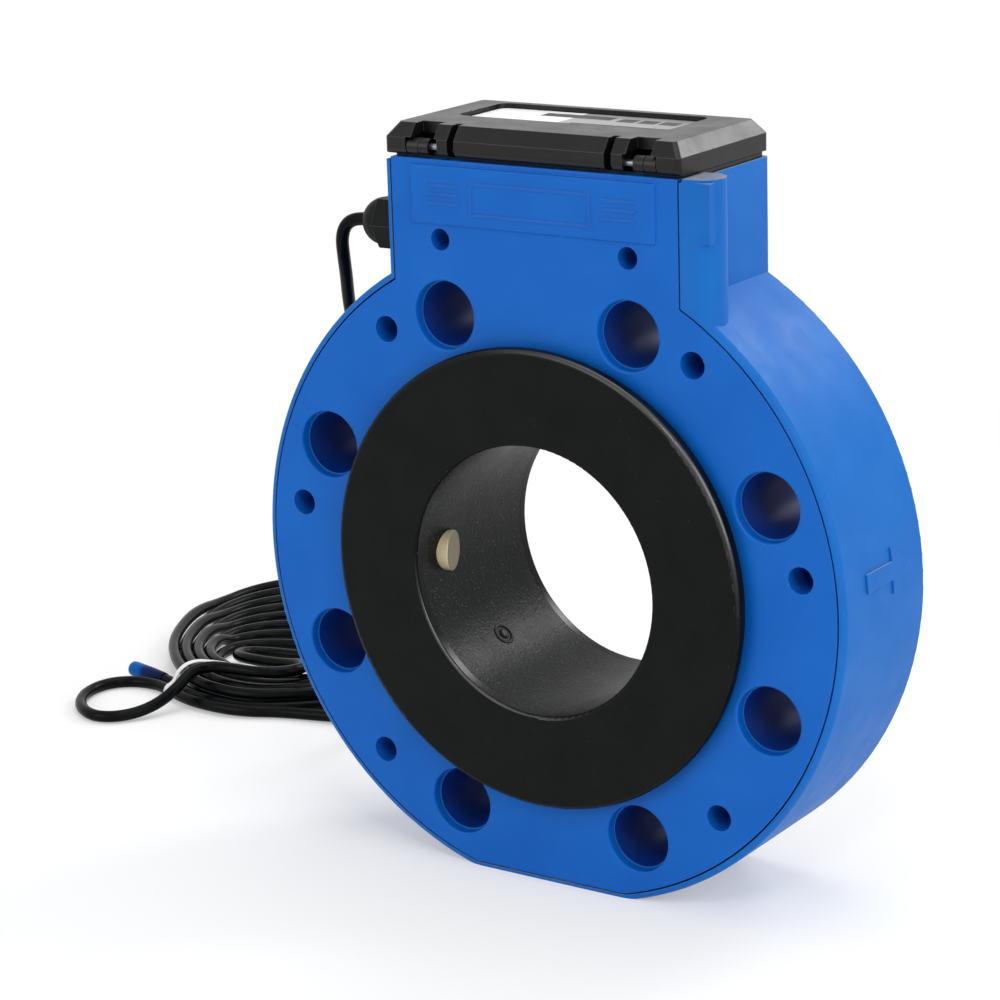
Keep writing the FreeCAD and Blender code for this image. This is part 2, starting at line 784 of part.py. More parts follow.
def knuckle(side):
    """A hinge barrel on a web that stands on the frame behind the cover."""
    radius = hinge_barrel_radius - knuckle_clearance
    barrel = rod_out(side, radius, knuckle_start, knuckle_end, pivot_y, pivot_z)
    x0, x1 = sorted((side * knuckle_start, side * knuckle_end))
    web = block(x0, x1, pivot_y, frame_front + 2 * plug_wall, pivot_z - radius / 2, pivot_z)
    foot = block(x0, x1, frame_front + plug_wall / 2, frame_front + 2 * plug_wall, deck_bottom, pivot_z)
    grooved = fused(barrel, web, foot)
    groove = knuckle_start + knuckle_groove_from
    ring = rod_out(side, radius + margin, groove, groove + knuckle_groove_width, pivot_y, pivot_z)
    core = rod_out(side, radius - knuckle_groove_depth, knuckle_start, knuckle_end, pivot_y, pivot_z)
    behind = block(-body_radius, body_radius, pivot_y, rear, deck_bottom, 2 * body_radius)
    grooved = grooved.cut(ring.cut(core).cut(behind))
    hole = rod_out(side, pin_radius + pin_press_clearance, pin_start, pin_end, pivot_y, pivot_z)
    return grooved.cut(hole)


def register_frame():
    """A flanged plug in the neck's mouth: a deck with a window ledge, board posts and two knuckles."""
    half = neck_half_width - frame_side_inset
    flange = rounded_slab(-half, half, frame_front, frame_back, frame_seat, frame_top, frame_corner)
    plug = block(-plug_x, plug_x, frame_front, plug_back, frame_seat - plug_depth, frame_top)
    inside = block(-plug_x + plug_wall, plug_x - plug_wall, frame_front + plug_wall, plug_back - plug_wall,
                   frame_seat - plug_depth - margin, deck_bottom)
    frame = fused(flange, plug).cut(inside)
    posts = [rod_z(post_radius, board_top, frame_top - margin, sx * post_x, sy * post_y)
             for sx in SIDES for sy in SIDES]
    frame = fused(frame, *posts, *[knuckle(side) for side in SIDES])
    ledge = frame_top - window_thickness - window_clearance
    w, d = window_half_width + window_clearance, window_half_depth + window_clearance
    cuts = [block(-w, w, -d, d, ledge, frame_top + margin)]
    w, d = window_half_width - window_ledge, window_half_depth - window_ledge
    cuts.append(block(-w, w, -d, d, deck_bottom - margin, frame_top))
    pilot = board_screw_radius + pilot_clearance
    for sx in SIDES:
        for sy in SIDES:
            deep = board_top + board_screw_length
            cuts.append(rod_z(pilot, board_top - margin, deep, sx * post_x, sy * post_y))
    return frame.cut(cuts)


def register_seal():
    half = neck_half_width - frame_side_inset
    outer = rounded_slab(-half, half, frame_front, frame_back, neck_top, frame_seat, frame_corner)
    hole = block(-neck_inner_x, neck_inner_x, frame_front - margin, back_inner,
                 neck_top - margin, frame_seat + margin)
    return outer.cut(hole)


def display_window():
    z0 = frame_top - window_thickness - window_clearance
    return block(-window_half_width, window_half_width, -window_half_depth, window_half_depth,
                 z0, z0 + window_thickness)


def lcd_display():
    return block(-lcd_half_width, lcd_half_width, -lcd_half_depth, lcd_half_depth,
                 board_top, board_top + lcd_thickness)


def circuit_board():
    wide, deep = board_half_width, board_half_depth
    board = block(-wide, wide, -deep, deep, board_bottom, board_top)
    holes = [rod_z(board_screw_radius + screw_hole_clearance, board_bottom - margin, board_top + margin,
                   sx * post_x, sy * post_y) for sx in SIDES for sy in SIDES]
    return board.cut(holes)


def board_screws():
    screws = []
    for sx in SIDES:
        for sy in SIDES:
            x, y = sx * post_x, sy * post_y
            head = rod_z(board_screw_head_radius, board_bottom - board_screw_head_height, board_bottom, x, y)
            shank = rod_z(board_screw_radius, board_bottom, board_bottom + board_screw_length, x, y)
            screws.append(fused(head, shank))
    return Part.makeCompound(screws)


def battery():
    start = -(battery_length + battery_nub_length) / 2
    cell = Part.makeCylinder(battery_radius, battery_length, V(start, 0, battery_z), X_AXIS)
    end = V(start + battery_length, 0, battery_z)
    nub = Part.makeCylinder(battery_nub_radius, battery_nub_length, end, X_AXIS)
    return fused(cell, nub)


def battery_clip():
    """A spring clip round the cell, open below, on a pad under the board."""
    half = clip_half_length
    ring = rod_out(1, clip_radius, -half, half, 0, battery_z)
    pad_bottom = board_bottom - clip_pad_thickness
    pad = block(-half, half, -clip_pad_half_width, clip_pad_half_width, pad_bottom, board_bottom)
    room = rod_out(1, battery_radius + clip_clearance, -half - margin, half + margin, 0, battery_z)
    clip = fused(ring, pad).cut(room)
    mouth = battery_z - clip_mouth_drop
    gap = block(-half - margin, half + margin, -clip_radius, clip_radius, mouth - clip_radius, mouth)
    return clip.cut(gap)


def gland_body():
    shank_end = neck_inner_x - locknut_thickness - gland_shank_spare
    flange = hexagon_out(-1, gland_hex, neck_half_width, gland_hex_end, 0, gland_z)
    shank = rod_out(-1, gland_shank_radius, shank_end, neck_half_width, 0, gland_z)
    neck = rod_out(-1, gland_neck_radius, gland_hex_end, gland_neck_end, 0, gland_z)
    hole = rod_out(-1, cable_radius + 2 * cable_clearance, shank_end - margin, gland_neck_end, 0, gland_z)
    seat_start = gland_neck_end - gland_seal_length / 2
    seat_radius = gland_seal_radius + gland_seal_clearance
    seat = rod_out(-1, seat_radius, seat_start, gland_neck_end + margin, 0, gland_z)
    return fused(flange, shank, neck).cut([hole, seat])


def gland_nut():
    """A hexagon that runs out into a dome, hollow over the gland's neck and seal."""
    near = gland_nut_start
    tip = -gland_tip
    flats = hexagon_out(-1, gland_nut_hex, near, gland_nut_hex_end, 0, gland_z)
    dome = Part.makeSphere(gland_dome_radius, V(-gland_nut_hex_end, 0, gland_z))
    dome = dome.cut(rod_out(-1, body_radius, tip, tip + body_radius, 0, gland_z))
    dome = dome.cut(rod_out(-1, body_radius, 0, near, 0, gland_z))
    neck_room = gland_neck_radius + gland_hole_clearance
    over_neck = rod_out(-1, neck_room, near - margin, gland_neck_end + gland_nut_gap, 0, gland_z)
    over_seal = rod_out(-1, gland_seal_radius + gland_seal_clearance, near, tip - gland_tip_wall, 0, gland_z)
    hole = rod_out(-1, cable_radius + 2 * cable_clearance, near, tip + margin, 0, gland_z)
    return fused(flats, dome).cut([over_neck, over_seal, hole])


def gland_seal():
    start = gland_neck_end - gland_seal_length / 2
    end = start + gland_seal_length
    sleeve = rod_out(-1, gland_seal_radius, start, end, 0, gland_z)
    return sleeve.cut(rod_out(-1, cable_radius + cable_clearance, start - margin, end + margin, 0, gland_z))


def gland_locknut():
    far = neck_inner_x
    near = far - locknut_thickness
    nut = hexagon_out(-1, locknut_hex, near, far, 0, gland_z)
    hole = gland_shank_radius + gland_hole_clearance / 2
    return nut.cut(rod_out(-1, hole, near - margin, far + margin, 0, gland_z))


def inner_lead():
    """The cable's stretch through the gland and up to the board."""
    turn_x = inner_lead_inset - neck_half_width
    points = [(gland_tip, 0, gland_z), (turn_x, 0, gland_z), (turn_x, 0, board_bottom)]
    return cord("inner lead", points, cable_radius, inner_lead_bend)


def signal_cable():
    """From the gland's tip, down behind the ring and along the floor to the coil."""
    points = [(gland_tip, 0, gland_z)]
    for out, y, share in lead_route:
        points.append((gland_tip - out, y, floor_z + cable_radius + cable_fall * share))
    return cord("signal cable", points, cable_radius)


def laid(out, y, up=0.0):
    """A place on the floor beside the meter, counted from the gland's tip."""
    return V(gland_tip - out, y, floor_z + up)


def cable_loop():
    return cord("cable loop", [laid(*place) for place in loop_route], cable_radius)


def tail_run():
    """Where the cable's last straight stretch starts, which way it runs, and how long it is with its cap."""
    start = laid(*tail_start)
    run = laid(*cap_tip) - start
    return start, V(run).normalize(), run.Length


def cable_tail():
    start, along, _ = tail_run()
    return Part.makeCylinder(cable_radius, tail_length, start, along)


def cable_end_cap():
    start, along, length = tail_run()
    cap = Part.makeCylinder(cap_radius, length - tail_length, start + along * tail_length, along)
    tip = laid(*cap_tip)
    return round_where(cap, cap_round, lambda e: (e.CenterOfMass - tip).Length < cap_round)


def egg(near_radius, far_radius, z0, z1):
    """Two discs on the floor and the tangents between them."""
    near, far = laid(*coil_near), laid(*coil_far)
    axis = far - near
    lean = math.acos((near_radius - far_radius) / axis.Length)
    along = math.atan2(axis.y, axis.x)
    corners = []
    for centre, radius, turns in ((near, near_radius, (lean, -lean)), (far, far_radius, (-lean, lean))):
        for turn in turns:
            corners.append(centre + V(math.cos(along + turn), math.sin(along + turn), 0) * radius)
    web = Part.Face(Part.makePolygon(corners + corners[:1])).extrude(V(0, 0, z1 - z0))
    web.translate(V(0, 0, z0 - floor_z))
    ends = [rod_z(r, z0, z1, c.x, c.y) for c, r in ((near, near_radius), (far, far_radius))]
    return fused(web, *ends)


def at_tie(shape):
    """Moves a piece drawn about the origin, X outwards, to where the tie holds the coil."""
    turned = shape.rotate(V(0, 0, 0), Z_AXIS, tie_angle)
    centre = laid(*coil_near)
    return turned.translate(V(centre.x, centre.y, 0))


def tie_block(inset, width):
    """The tie's outline as a block round the coil's section, drawn in by an inset."""
    half = width / 2
    x0, x1 = coil_hole_radius + inset, coil_near_radius - inset
    return at_tie(block(x0, x1, -half, half, floor_z + inset, floor_z + coil_height - inset))


def cable_coil():
    """The outer form of the loose turns, waisted under the tie."""
    top = floor_z + coil_height
    coil = egg(coil_near_radius, coil_far_radius, floor_z, top)
    coil = round_where(coil, coil_round, lambda e: all(abs(v.Z - top) < 1e-6 for v in e.Vertexes))
    middle = laid(*coil_near)
    coil = coil.cut(rod_z(coil_hole_radius, floor_z - margin, top + margin, middle.x, middle.y))
    room = tie_width + 2 * tie_clearance
    waist = at_tie(block(0, coil_near_radius + margin, -room / 2, room / 2, floor_z - margin, top + margin))
    core = tie_block(tie_thickness + tie_clearance, room)
    return coil.cut(waist.cut(core))


def cable_tie():
    return tie_block(0, tie_width).cut(tie_block(tie_thickness, tie_width + margin))


pieces = {
    "rear_housing": rear_housing(),
    "front_cover": front_cover(),
    "cover_seal": cover_seal(),
    "cover_screws": cover_screws(),
    "flow_tube": flow_tube(),
    "front_gasket": gasket(-1),
    "rear_gasket": gasket(1),
    "upstream_transducer": transducer(-1),
    "downstream_transducer": transducer(1),
    "transducer_seals": transducer_seals(),
    "transducer_nuts": transducer_nuts(),
    "transducer_leads": transducer_leads(),
    "lid": lid(),
    "lid_label": lid_label(),
    "hinge_pins": hinge_pins(),
    "register_frame": register_frame(),
    "register_seal": register_seal(),
    "display_window": display_window(),
    "lcd_display": lcd_display(),
    "circuit_board": circuit_board(),
    "board_screws": board_screws(),
    "battery": battery(),
    "battery_clip": battery_clip(),
    "gland_body": gland_body(),
    "gland_nut": gland_nut(),
    "gland_seal": gland_seal(),
    "gland_locknut": gland_locknut(),
    "inner_lead": inner_lead(),
    "signal_cable": signal_cable(),
    "cable_coil": cable_coil(),
    "cable_loop": cable_loop(),
    "cable_tail": cable_tail(),
    "cable_tie": cable_tie(),
    "cable_end_cap": cable_end_cap(),
}

os.makedirs("parts", exist_ok=True)
for name, shape in pieces.items():
    if not shape.isValid():
        raise ValueError(name + " isn't a valid solid")
    shape.exportStep("parts/" + name + ".step")
    print(name, len(shape.Solids), round(shape.Volume, 1))
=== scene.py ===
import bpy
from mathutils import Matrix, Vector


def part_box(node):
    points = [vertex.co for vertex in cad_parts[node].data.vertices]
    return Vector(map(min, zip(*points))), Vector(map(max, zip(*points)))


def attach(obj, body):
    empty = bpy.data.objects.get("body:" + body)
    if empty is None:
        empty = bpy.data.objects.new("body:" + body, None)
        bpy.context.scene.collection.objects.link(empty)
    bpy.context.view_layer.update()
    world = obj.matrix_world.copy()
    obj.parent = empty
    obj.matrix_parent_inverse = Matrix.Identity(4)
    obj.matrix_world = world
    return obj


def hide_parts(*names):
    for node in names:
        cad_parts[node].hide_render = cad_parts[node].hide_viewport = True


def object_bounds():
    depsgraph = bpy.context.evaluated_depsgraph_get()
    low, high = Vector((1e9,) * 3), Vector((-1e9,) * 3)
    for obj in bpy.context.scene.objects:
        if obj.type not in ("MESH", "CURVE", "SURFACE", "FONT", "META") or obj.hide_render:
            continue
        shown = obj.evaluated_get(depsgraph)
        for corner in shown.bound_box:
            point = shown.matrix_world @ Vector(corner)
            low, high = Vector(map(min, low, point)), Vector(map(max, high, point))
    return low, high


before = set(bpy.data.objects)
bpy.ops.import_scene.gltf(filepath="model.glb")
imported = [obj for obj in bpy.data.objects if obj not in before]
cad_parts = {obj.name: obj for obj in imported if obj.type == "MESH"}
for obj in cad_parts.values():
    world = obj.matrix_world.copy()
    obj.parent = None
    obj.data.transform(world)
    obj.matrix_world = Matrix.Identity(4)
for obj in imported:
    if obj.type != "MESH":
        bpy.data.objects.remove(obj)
CAD_BOX = [list(corner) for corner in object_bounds()]

import math

import bmesh
import bpy
from bpy.props import FloatProperty, FloatVectorProperty, IntProperty, PointerProperty
from bpy.types import Operator, Panel, PropertyGroup
from mathutils import Matrix, Vector

bl_info = {
    "name": "Wafer flow meter",
    "version": (1, 0, 0),
    "blender": (4, 5, 0),
    "location": "3D View > Sidebar > Flow meter",
    "description": "Dresses a wafer flow meter with its finishes, cable and small raised marks",
    "category": "Object",
}

MM = 0.001
METER = "meter"
LID = "lid"
FLOOR = CAD_BOX[0][2] / MM
RING_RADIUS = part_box("rear_housing")[1][0] / MM
BORE_RADIUS = 40.0
GLAND_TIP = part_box("gland_nut")[0][0] / MM
GLAND_HEIGHT = (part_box("gland_nut")[0][2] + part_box("gland_nut")[1][2]) / (2 * MM)

# Route of the cable from the gland to the floor, in millimetres
LEAD = [
    (GLAND_TIP, 0.0, GLAND_HEIGHT),
    (-78.0, 0.0, GLAND_HEIGHT),
    (-82.2, 0.2, 92.0),
    (-84.4, 0.8, 87.6),
    (-85.6, 3.0, 81.5),
    (-88.2, 7.4, 74.0),
    (-92.4, 13.6, 64.5),
    (-96.4, 21.6, 52.0),
    (-99.2, 29.6, 36.5),
    (-101.2, 36.4, 18.0),
    (-102.2, 41.6, -2.0),
    (-103.0, 45.6, -22.0),
    (-104.2, 49.0, -41.0),
    (-106.6, 52.0, -58.5),
    (-111.2, 54.6, -73.5),
    (-118.8, 56.6, -84.6),
    (-129.8, 57.4, -90.4),
    (-141.0, 55.6, -91.2),
]

# On along the front of the coil: angle round the coil's outer loop, and height above the lowest row
FRONT_STRAND = [(-64.0, 0.0), (-76.0, 0.2), (-88.0, 0.5), (-100.0, 0.5)]

# Out of the tie in a free loop and up over the bundle: x, y, and height above the lowest row
FREE_LOOP = [
    (-206.4, 50.4, 0.4),
    (-214.4, 53.0, 0.1),
    (-223.4, 51.6, 0.0),
    (-229.6, 45.4, 0.0),
    (-230.0, 34.6, 0.0),
    (-223.6, 23.4, 0.0),
    (-212.6, 16.8, 0.0),
    (-204.4, 19.2, 0.0),
    (-199.0, 26.0, 0.5),
    (-194.8, 33.0, 2.8),
    (-192.4, 40.2, 6.8),
    (-193.0, 47.5, 9.9),
    (-189.6, 53.8, 10.4),
]

# Over the bundle, down into the coil's middle and round into its first turn
TURN_BACK = [
    (-182.6, 56.6, 9.9),
    (-174.4, 58.0, 9.6),
    (-166.8, 61.4, 9.4),
    (-162.6, 67.8, 9.2),
    (-163.8, 74.8, 8.4),
    (-169.4, 79.4, 6.8),
    (-176.6, 80.8, 5.2),
    (-185.0, 80.6, 4.6),
    (-194.4, 81.0, 4.2),
    (-202.0, 84.2, 3.2),
    (-205.8, 90.0, 1.9),
    (-204.2, 96.4, 0.7),
    (-197.4, 100.4, 0.1),
]

# Out of the last turn to the end sleeve, and the sleeve's tip, fit and wall
TAIL = [(-203.4, 54.6, 0.0), (-209.6, 56.6, 0.3), (-215.2, 57.7, 0.74)]
SLEEVE_TIP = (-230.6, 61.0)
SLEEVE_GAP = 0.05
SLEEVE_WALL = 0.55
SLEEVE_OVERLAP = 2.0

# Coil on the floor, in millimetres and degrees: an outer loop, an inner one, and where the tie holds the turns
# Each side of the outer loop has its half width, how far it leans like an egg, and how full it is
OUTER_MIDDLE = -180.0
OUTER_BACK = 123.5
OUTER_HALF_DEPTH = 80.3
OUTER_LEFT = (73.5, 27.0, 0.76)
OUTER_RIGHT = (60.0, 10.0, 1.0)
LEAST_COSINE = 0.001
INNER_MIDDLE = -183.0
INNER_BACK = 89.0
INNER_FRONT_DEPTH = 15.5
INNER_REAR_DEPTH = 12.0
INNER_LEFT_WIDTH = 27.0
INNER_RIGHT_WIDTH = 26.0
TIE_ANGLE = -114.5
FIRST_TURN_ANGLE = -270.0
TURN_STEP = 15.0
FULL_TURN = 360.0
FRONT_STRAND_ROOM = 4.15
TURN_ROOM = 4.55
TIE_ROOM = 0.5
FLOOR_GAP = 0.06
LAST_STEP_ROOM = 2.0

# Stretches of a turn, in degrees past the tie, over which its place changes
LEAVES_STRAND = (4.0, 40.0)
MEETS_STRAND = (262.0, 310.0)
STEPS_OUT = (110.0, 250.0)
FALLS_FROM_TIE = (4.0, 30.0)
CLIMBS_TO_TIE = (318.0, 344.0)

# Tie round the bundle: across the bundle and up from the floor, in its own plane
TIE_PLANE_ANGLE = -112.0
TIE_LOOP = [
    (9.0, 0.3),
    (-1.0, 0.3),
    (-3.0, 1.6),
    (-2.2, 4.6),
    (0.6, 5.6),
    (1.8, 8.6),
    (5.0, 11.4),
    (9.5, 12.2),
    (14.0, 11.2),
    (19.0, 9.8),
    (24.0, 8.0),
    (26.4, 4.4),
    (25.2, 0.3),
]

# Gate mark in the bore: place round the bore and along it, and how far it rises and sinks, in radii
GATE_ANGLE = -136.0
GATE_ALONG = -1.4
GATE_RISE = 0.09
GATE_SUNK = 0.3

# Fields on the label: left, right, front and rear edge, as shares of the label's width and depth
LABEL_FIELDS = (
    (0.26, 0.60, 0.66, 0.86),
    (0.64, 0.72, 0.60, 0.80),
    (0.74, 0.82, 0.60, 0.80),
    (0.84, 0.92, 0.60, 0.80),
    (0.48, 0.94, 0.22, 0.34),
)
FIELD_SUNK = 0.02
FIELD_THICKNESS = 0.06

# Raised arrow: cuts that let it follow the ring, how far it sinks in, and its broken edges
ARROW_CUTS = 12
ARROW_SUNK = 0.3
ARROW_EDGE = 0.2

# Lamps: name, place and side in metres, and power in watts
LAMPS = (
    ("Right_softbox", (1.15, -0.35, 0.55), 0.8, 7.6),
    ("Front_softbox", (-0.55, -1.25, 0.55), 0.9, 6.2),
    ("Edge_softbox", (0.6, -0.8, 0.98), 0.2, 2.0),
    ("Top_softbox", (0.0, 0.25, 1.35), 1.0, 7.0),
    ("Rear_softbox", (0.33, 1.03, 0.72), 0.4, 4.6),
)
SENSOR_WIDTH = 36.0

# Sky light: how high its lower and upper ends lie on the sky's ball, and their share of the strength
SKY_ENDS = (-0.2, 0.9)
SKY_SHARES = (0.5, 1.3)

# Floor: distance from the meter, in metres, over which its shadow fades out, and how white it is before
SHADOW_FADES = (0.2, 0.55)
SHADOW_WHITE = 0.35

# A noise keeps nearly all of its values between these two
CLOUD_LOW = 0.3
CLOUD_HIGH = 0.7
CLOUD_DETAIL = 2.0

# Speck: how far its edge fades, on the noise that it is cut from
SPECK_EDGE = 0.03

# Worn edge: how far a rounded normal leans from the flat one, as a cosine, and the gloss level there
EDGE_FLAT = 0.99
EDGE_ROUND = 0.92
EDGE_POLISH = 0.6
EDGE_SAMPLES = 6

# Bolt holes: radius round the bore at which they end and at which the outside starts, in millimetres
HOLES_END = 90.0
OUTSIDE_START = 92.0

# Level faces, by how far up they look, and how much of them the grey patches cover
LEVEL = (0.93, 0.98)
GREY_COVER = (0.45, 0.95)

# Sealing ring: the side of its lips that hands rub, how squarely a lip looks there, and the gloss levels
RUBBED_SIDE = (0.5, -0.6, 0.62)
RUBBED = (0.75, 0.97)
RUBBER_GLOSS = (0.09, 0.8)

# Sensor: how squarely a face looks across the bore where its painted shade starts and is full
SHADED_FACING = (0.5, 0.85)

# Sockets of a colour mix: its share, its two colours and its result
MIX_SHARE = 0
MIX_FIRST = 6
MIX_SECOND = 7
MIX_RESULT = 2


def linear(code):
    """An sRGB hex colour as linear red, green, blue and alpha."""
    shares = [int(code[k:k + 2], 16) / 255 for k in (1, 3, 5)]
    return (*(s / 12.92 if s <= 0.04045 else ((s + 0.055) / 1.055) ** 2.4 for s in shares), 1.0)


class FlowMeterView(PropertyGroup):
    """Where the camera stands, and the light on the meter."""

    place: FloatVectorProperty(
        name="Camera place", description="Where the camera stands", subtype="TRANSLATION", unit="LENGTH",
        default=(0.4779, -0.74475, 0.2677))
    yaw: FloatProperty(
        name="Yaw", description="How far right of the bore axis the camera stands", subtype="ANGLE",
        default=math.radians(34.27))
    pitch: FloatProperty(
        name="Pitch", description="How far above the bore axis the camera stands", subtype="ANGLE",
        default=math.radians(15.76))
    roll: FloatProperty(
        name="Roll", description="How far the camera leans", subtype="ANGLE", default=math.radians(-1.81))
    lens: FloatProperty(
        name="Lens", description="Focal length on a 36 mm sensor", unit="CAMERA", default=113.87)
    floor_size: FloatProperty(
        name="Floor", description="Side of the floor", subtype="DISTANCE", unit="LENGTH", default=12.0)
    sky: FloatProperty(name="Sky", description="Strength of the light from all round", default=0.42)


class FlowMeterCable(PropertyGroup):
    """Sizes of the signal cable."""

    diameter: FloatProperty(
        name="Diameter", description="Outer diameter of the sheath", subtype="DISTANCE", unit="LENGTH",
        default=4.0 * MM)
    length: FloatProperty(
        name="Length", description="Whole length outside the gland", subtype="DISTANCE", unit="LENGTH",
        default=3.09)
    turns: IntProperty(name="Turns", description="Loose turns in the coil", default=9)
    tie_width: FloatProperty(
        name="Tie width", description="Width of the tie's strip", subtype="DISTANCE", unit="LENGTH",
        default=2.5 * MM)
    tie_thickness: FloatProperty(
        name="Tie thickness", description="Thickness of the tie's strip", subtype="DISTANCE", unit="LENGTH",
        default=0.5 * MM)


class FlowMeterColours(PropertyGroup):
    """Colours of the mouldings and the cable."""

    cover: FloatVectorProperty(
        name="Cover", description="Main shade of the front cover", subtype="COLOR", size=4, min=0.0, max=1.0,
        default=linear("#0459B2"))
    cover_patches: FloatVectorProperty(
        name="Cover patches", description="Paler shade in the cover's soft patches", subtype="COLOR", size=4,
        min=0.0, max=1.0, default=linear("#085FB8"))
    housing: FloatVectorProperty(
        name="Housing", description="Main shade of the ring and neck", subtype="COLOR", size=4,
        min=0.0, max=1.0, default=linear("#0B5FB0"))
    housing_patches: FloatVectorProperty(
        name="Housing patches", description="Paler shade in the housing's soft patches", subtype="COLOR",
        size=4, min=0.0, max=1.0, default=linear("#1065B6"))
    lid: FloatVectorProperty(
        name="Lid", description="Main shade of the lid and its frame", subtype="COLOR", size=4,
        min=0.0, max=1.0, default=linear("#08080A"))
    lid_patches: FloatVectorProperty(
        name="Lid patches", description="Paler shade in the lid's soft patches", subtype="COLOR", size=4,
        min=0.0, max=1.0, default=linear("#0E0E10"))
    cable: FloatVectorProperty(
        name="Cable", description="Main shade of the sheath", subtype="COLOR", size=4, min=0.0, max=1.0,
        default=linear("#060708"))
    cable_patches: FloatVectorProperty(
        name="Cable patches", description="Paler shade in the sheath's soft patches", subtype="COLOR", size=4,
        min=0.0, max=1.0, default=linear("#0D0F10"))


class FlowMeterMarks(PropertyGroup):
    """Sizes of the raised arrow and of the gate mark."""

    arrow_tail: FloatProperty(
        name="Arrow tail", description="Where the arrow starts along the bore", subtype="DISTANCE",
        unit="LENGTH", default=-10.9 * MM)
    arrow_shoulder: FloatProperty(
        name="Arrow shoulder", description="Where its head starts along the bore", subtype="DISTANCE",
        unit="LENGTH", default=4.0 * MM)
    arrow_tip: FloatProperty(
        name="Arrow tip", description="Where it ends along the bore", subtype="DISTANCE", unit="LENGTH",
        default=14.4 * MM)
    arrow_shaft: FloatProperty(
        name="Arrow shaft", description="Width of its shaft", subtype="DISTANCE", unit="LENGTH",
        default=5.4 * MM)
    arrow_head: FloatProperty(
        name="Arrow head", description="Width of its head", subtype="DISTANCE", unit="LENGTH",
        default=13.4 * MM)
    arrow_height: FloatProperty(
        name="Arrow height", description="How high its middle is round the ring", subtype="ANGLE",
        default=math.radians(5.2))
    arrow_rise: FloatProperty(
        name="Arrow rise", description="How far it stands out of the ring", subtype="DISTANCE", unit="LENGTH",
        default=0.6 * MM)
    gate_radius: FloatProperty(
        name="Gate mark", description="Radius of the gate mark in the bore", subtype="DISTANCE",
        unit="LENGTH", default=3.6 * MM)


def smooth(start, end, value):
    """0 before start, 1 after end, and an even curve between."""
    share = min(max((value - start) / (end - start), 0.0), 1.0)
    return share * share * (3.0 - 2.0 * share)


def metres(x, y, z):
    return Vector((x, y, z)) * MM


def outer_width(c):
    """Half width, lean and fullness of the outer loop on the side that a cosine falls on."""
    half_width, egg, fullness = OUTER_RIGHT if c > 0 else OUTER_LEFT
    return half_width, egg, fullness, max(abs(c), LEAST_COSINE) ** (fullness - 1.0)


def outer_loop(angle):
    s, c = math.sin(angle), math.cos(angle)
    half_width, egg, _, full = outer_width(c)
    return Vector((OUTER_MIDDLE + (half_width + egg * s) * c * full, OUTER_BACK + OUTER_HALF_DEPTH * s))


def inner_loop(angle):
    s, c = math.sin(angle), math.cos(angle)
    half_width = INNER_RIGHT_WIDTH if c > 0 else INNER_LEFT_WIDTH
    depth = INNER_REAR_DEPTH if s > 0 else INNER_FRONT_DEPTH
    return Vector((INNER_MIDDLE + half_width * c, INNER_BACK + depth * s))


def inward(angle):
    """The direction from the outer loop to the coil's middle."""
    s, c = math.sin(angle), math.cos(angle)
    half_width, egg, fullness, full = outer_width(c)
    along_x = (egg * c * c - (half_width + egg * s) * s * fullness) * full
    along_y = OUTER_HALF_DEPTH * c
    return Vector((-along_y, along_x)).normalized()


def turn_place(degrees, turns):
    """A place on the loose turns, which run clockwise from the inner loop to the outer one."""
    past_tie = TIE_ANGLE - degrees
    turn = math.floor(past_tie / FULL_TURN)
    round_turn = past_tie - FULL_TURN * turn
    angle = math.radians(degrees)
    beside_strand = 1 - smooth(*LEAVES_STRAND, round_turn) + smooth(*MEETS_STRAND, round_turn)
    edge = outer_loop(angle) + inward(angle) * FRONT_STRAND_ROOM * beside_strand
    across = inner_loop(angle) - edge
    layer = turns - turn - smooth(*STEPS_OUT, round_turn)
    place = edge + across * layer / turns
    spacing = across.dot(inward(angle)) / turns
    rise = math.sqrt(max(TURN_ROOM ** 2 - spacing ** 2, 0.0))
    upper = (turn + 1) % 2 if round_turn < FULL_TURN / 2 else turn % 2
    over_tie = TIE_ROOM * (1 - smooth(*FALLS_FROM_TIE, round_turn) + smooth(*CLIMBS_TO_TIE, round_turn))
    return place.x, place.y, rise * upper + over_tie


def cable_route(cable):
    """The whole route in metres: lead, front strand, free loop, way back, turns and tail."""
    lowest = FLOOR + cable.diameter / (2 * MM) + FLOOR_GAP
    laid = []
    for degrees, up in FRONT_STRAND:
        laid.append((*outer_loop(math.radians(degrees)), up))
    laid += FREE_LOOP + TURN_BACK
    degrees = FIRST_TURN_ANGLE
    while degrees > TIE_ANGLE - FULL_TURN * cable.turns + LAST_STEP_ROOM:
        laid.append(turn_place(degrees, cable.turns))
        degrees -= TURN_STEP
    laid += TAIL
    return [metres(*place) for place in LEAD] + [metres(x, y, lowest + up) for x, y, up in laid]


def add(tree, kind, sockets=None, stops=(), **settings):
    """Adds a node with its settings and colour stops, and fills or links its sockets."""
    made = tree.nodes.new(kind)
    for name, value in settings.items():
        setattr(made, name, value)
    for socket, value in (sockets or {}).items():
        if isinstance(value, bpy.types.NodeSocket):
            tree.links.new(value, made.inputs[socket])
        else:
            made.inputs[socket].default_value = value
    for k, (place, colour) in enumerate(stops):
        marks = made.color_ramp.elements
        mark = marks[k] if k < len(marks) else marks.new(place)
        mark.position = place
        mark.color = colour
    return made


def surface(name, **sockets):
    """A new material, with plain numbers set on its shader's own sockets."""
    material = bpy.data.materials.new(name)
    material.use_nodes = True
    shader = material.node_tree.nodes["Principled BSDF"]
    for socket, value in sockets.items():
        shader.inputs[socket.replace("_", " ")].default_value = value
    return material, material.node_tree, shader


def per_metre(size_mm):
    """The scale at which a pattern repeats about once in a size."""
    return 1.0 / (size_mm * MM)


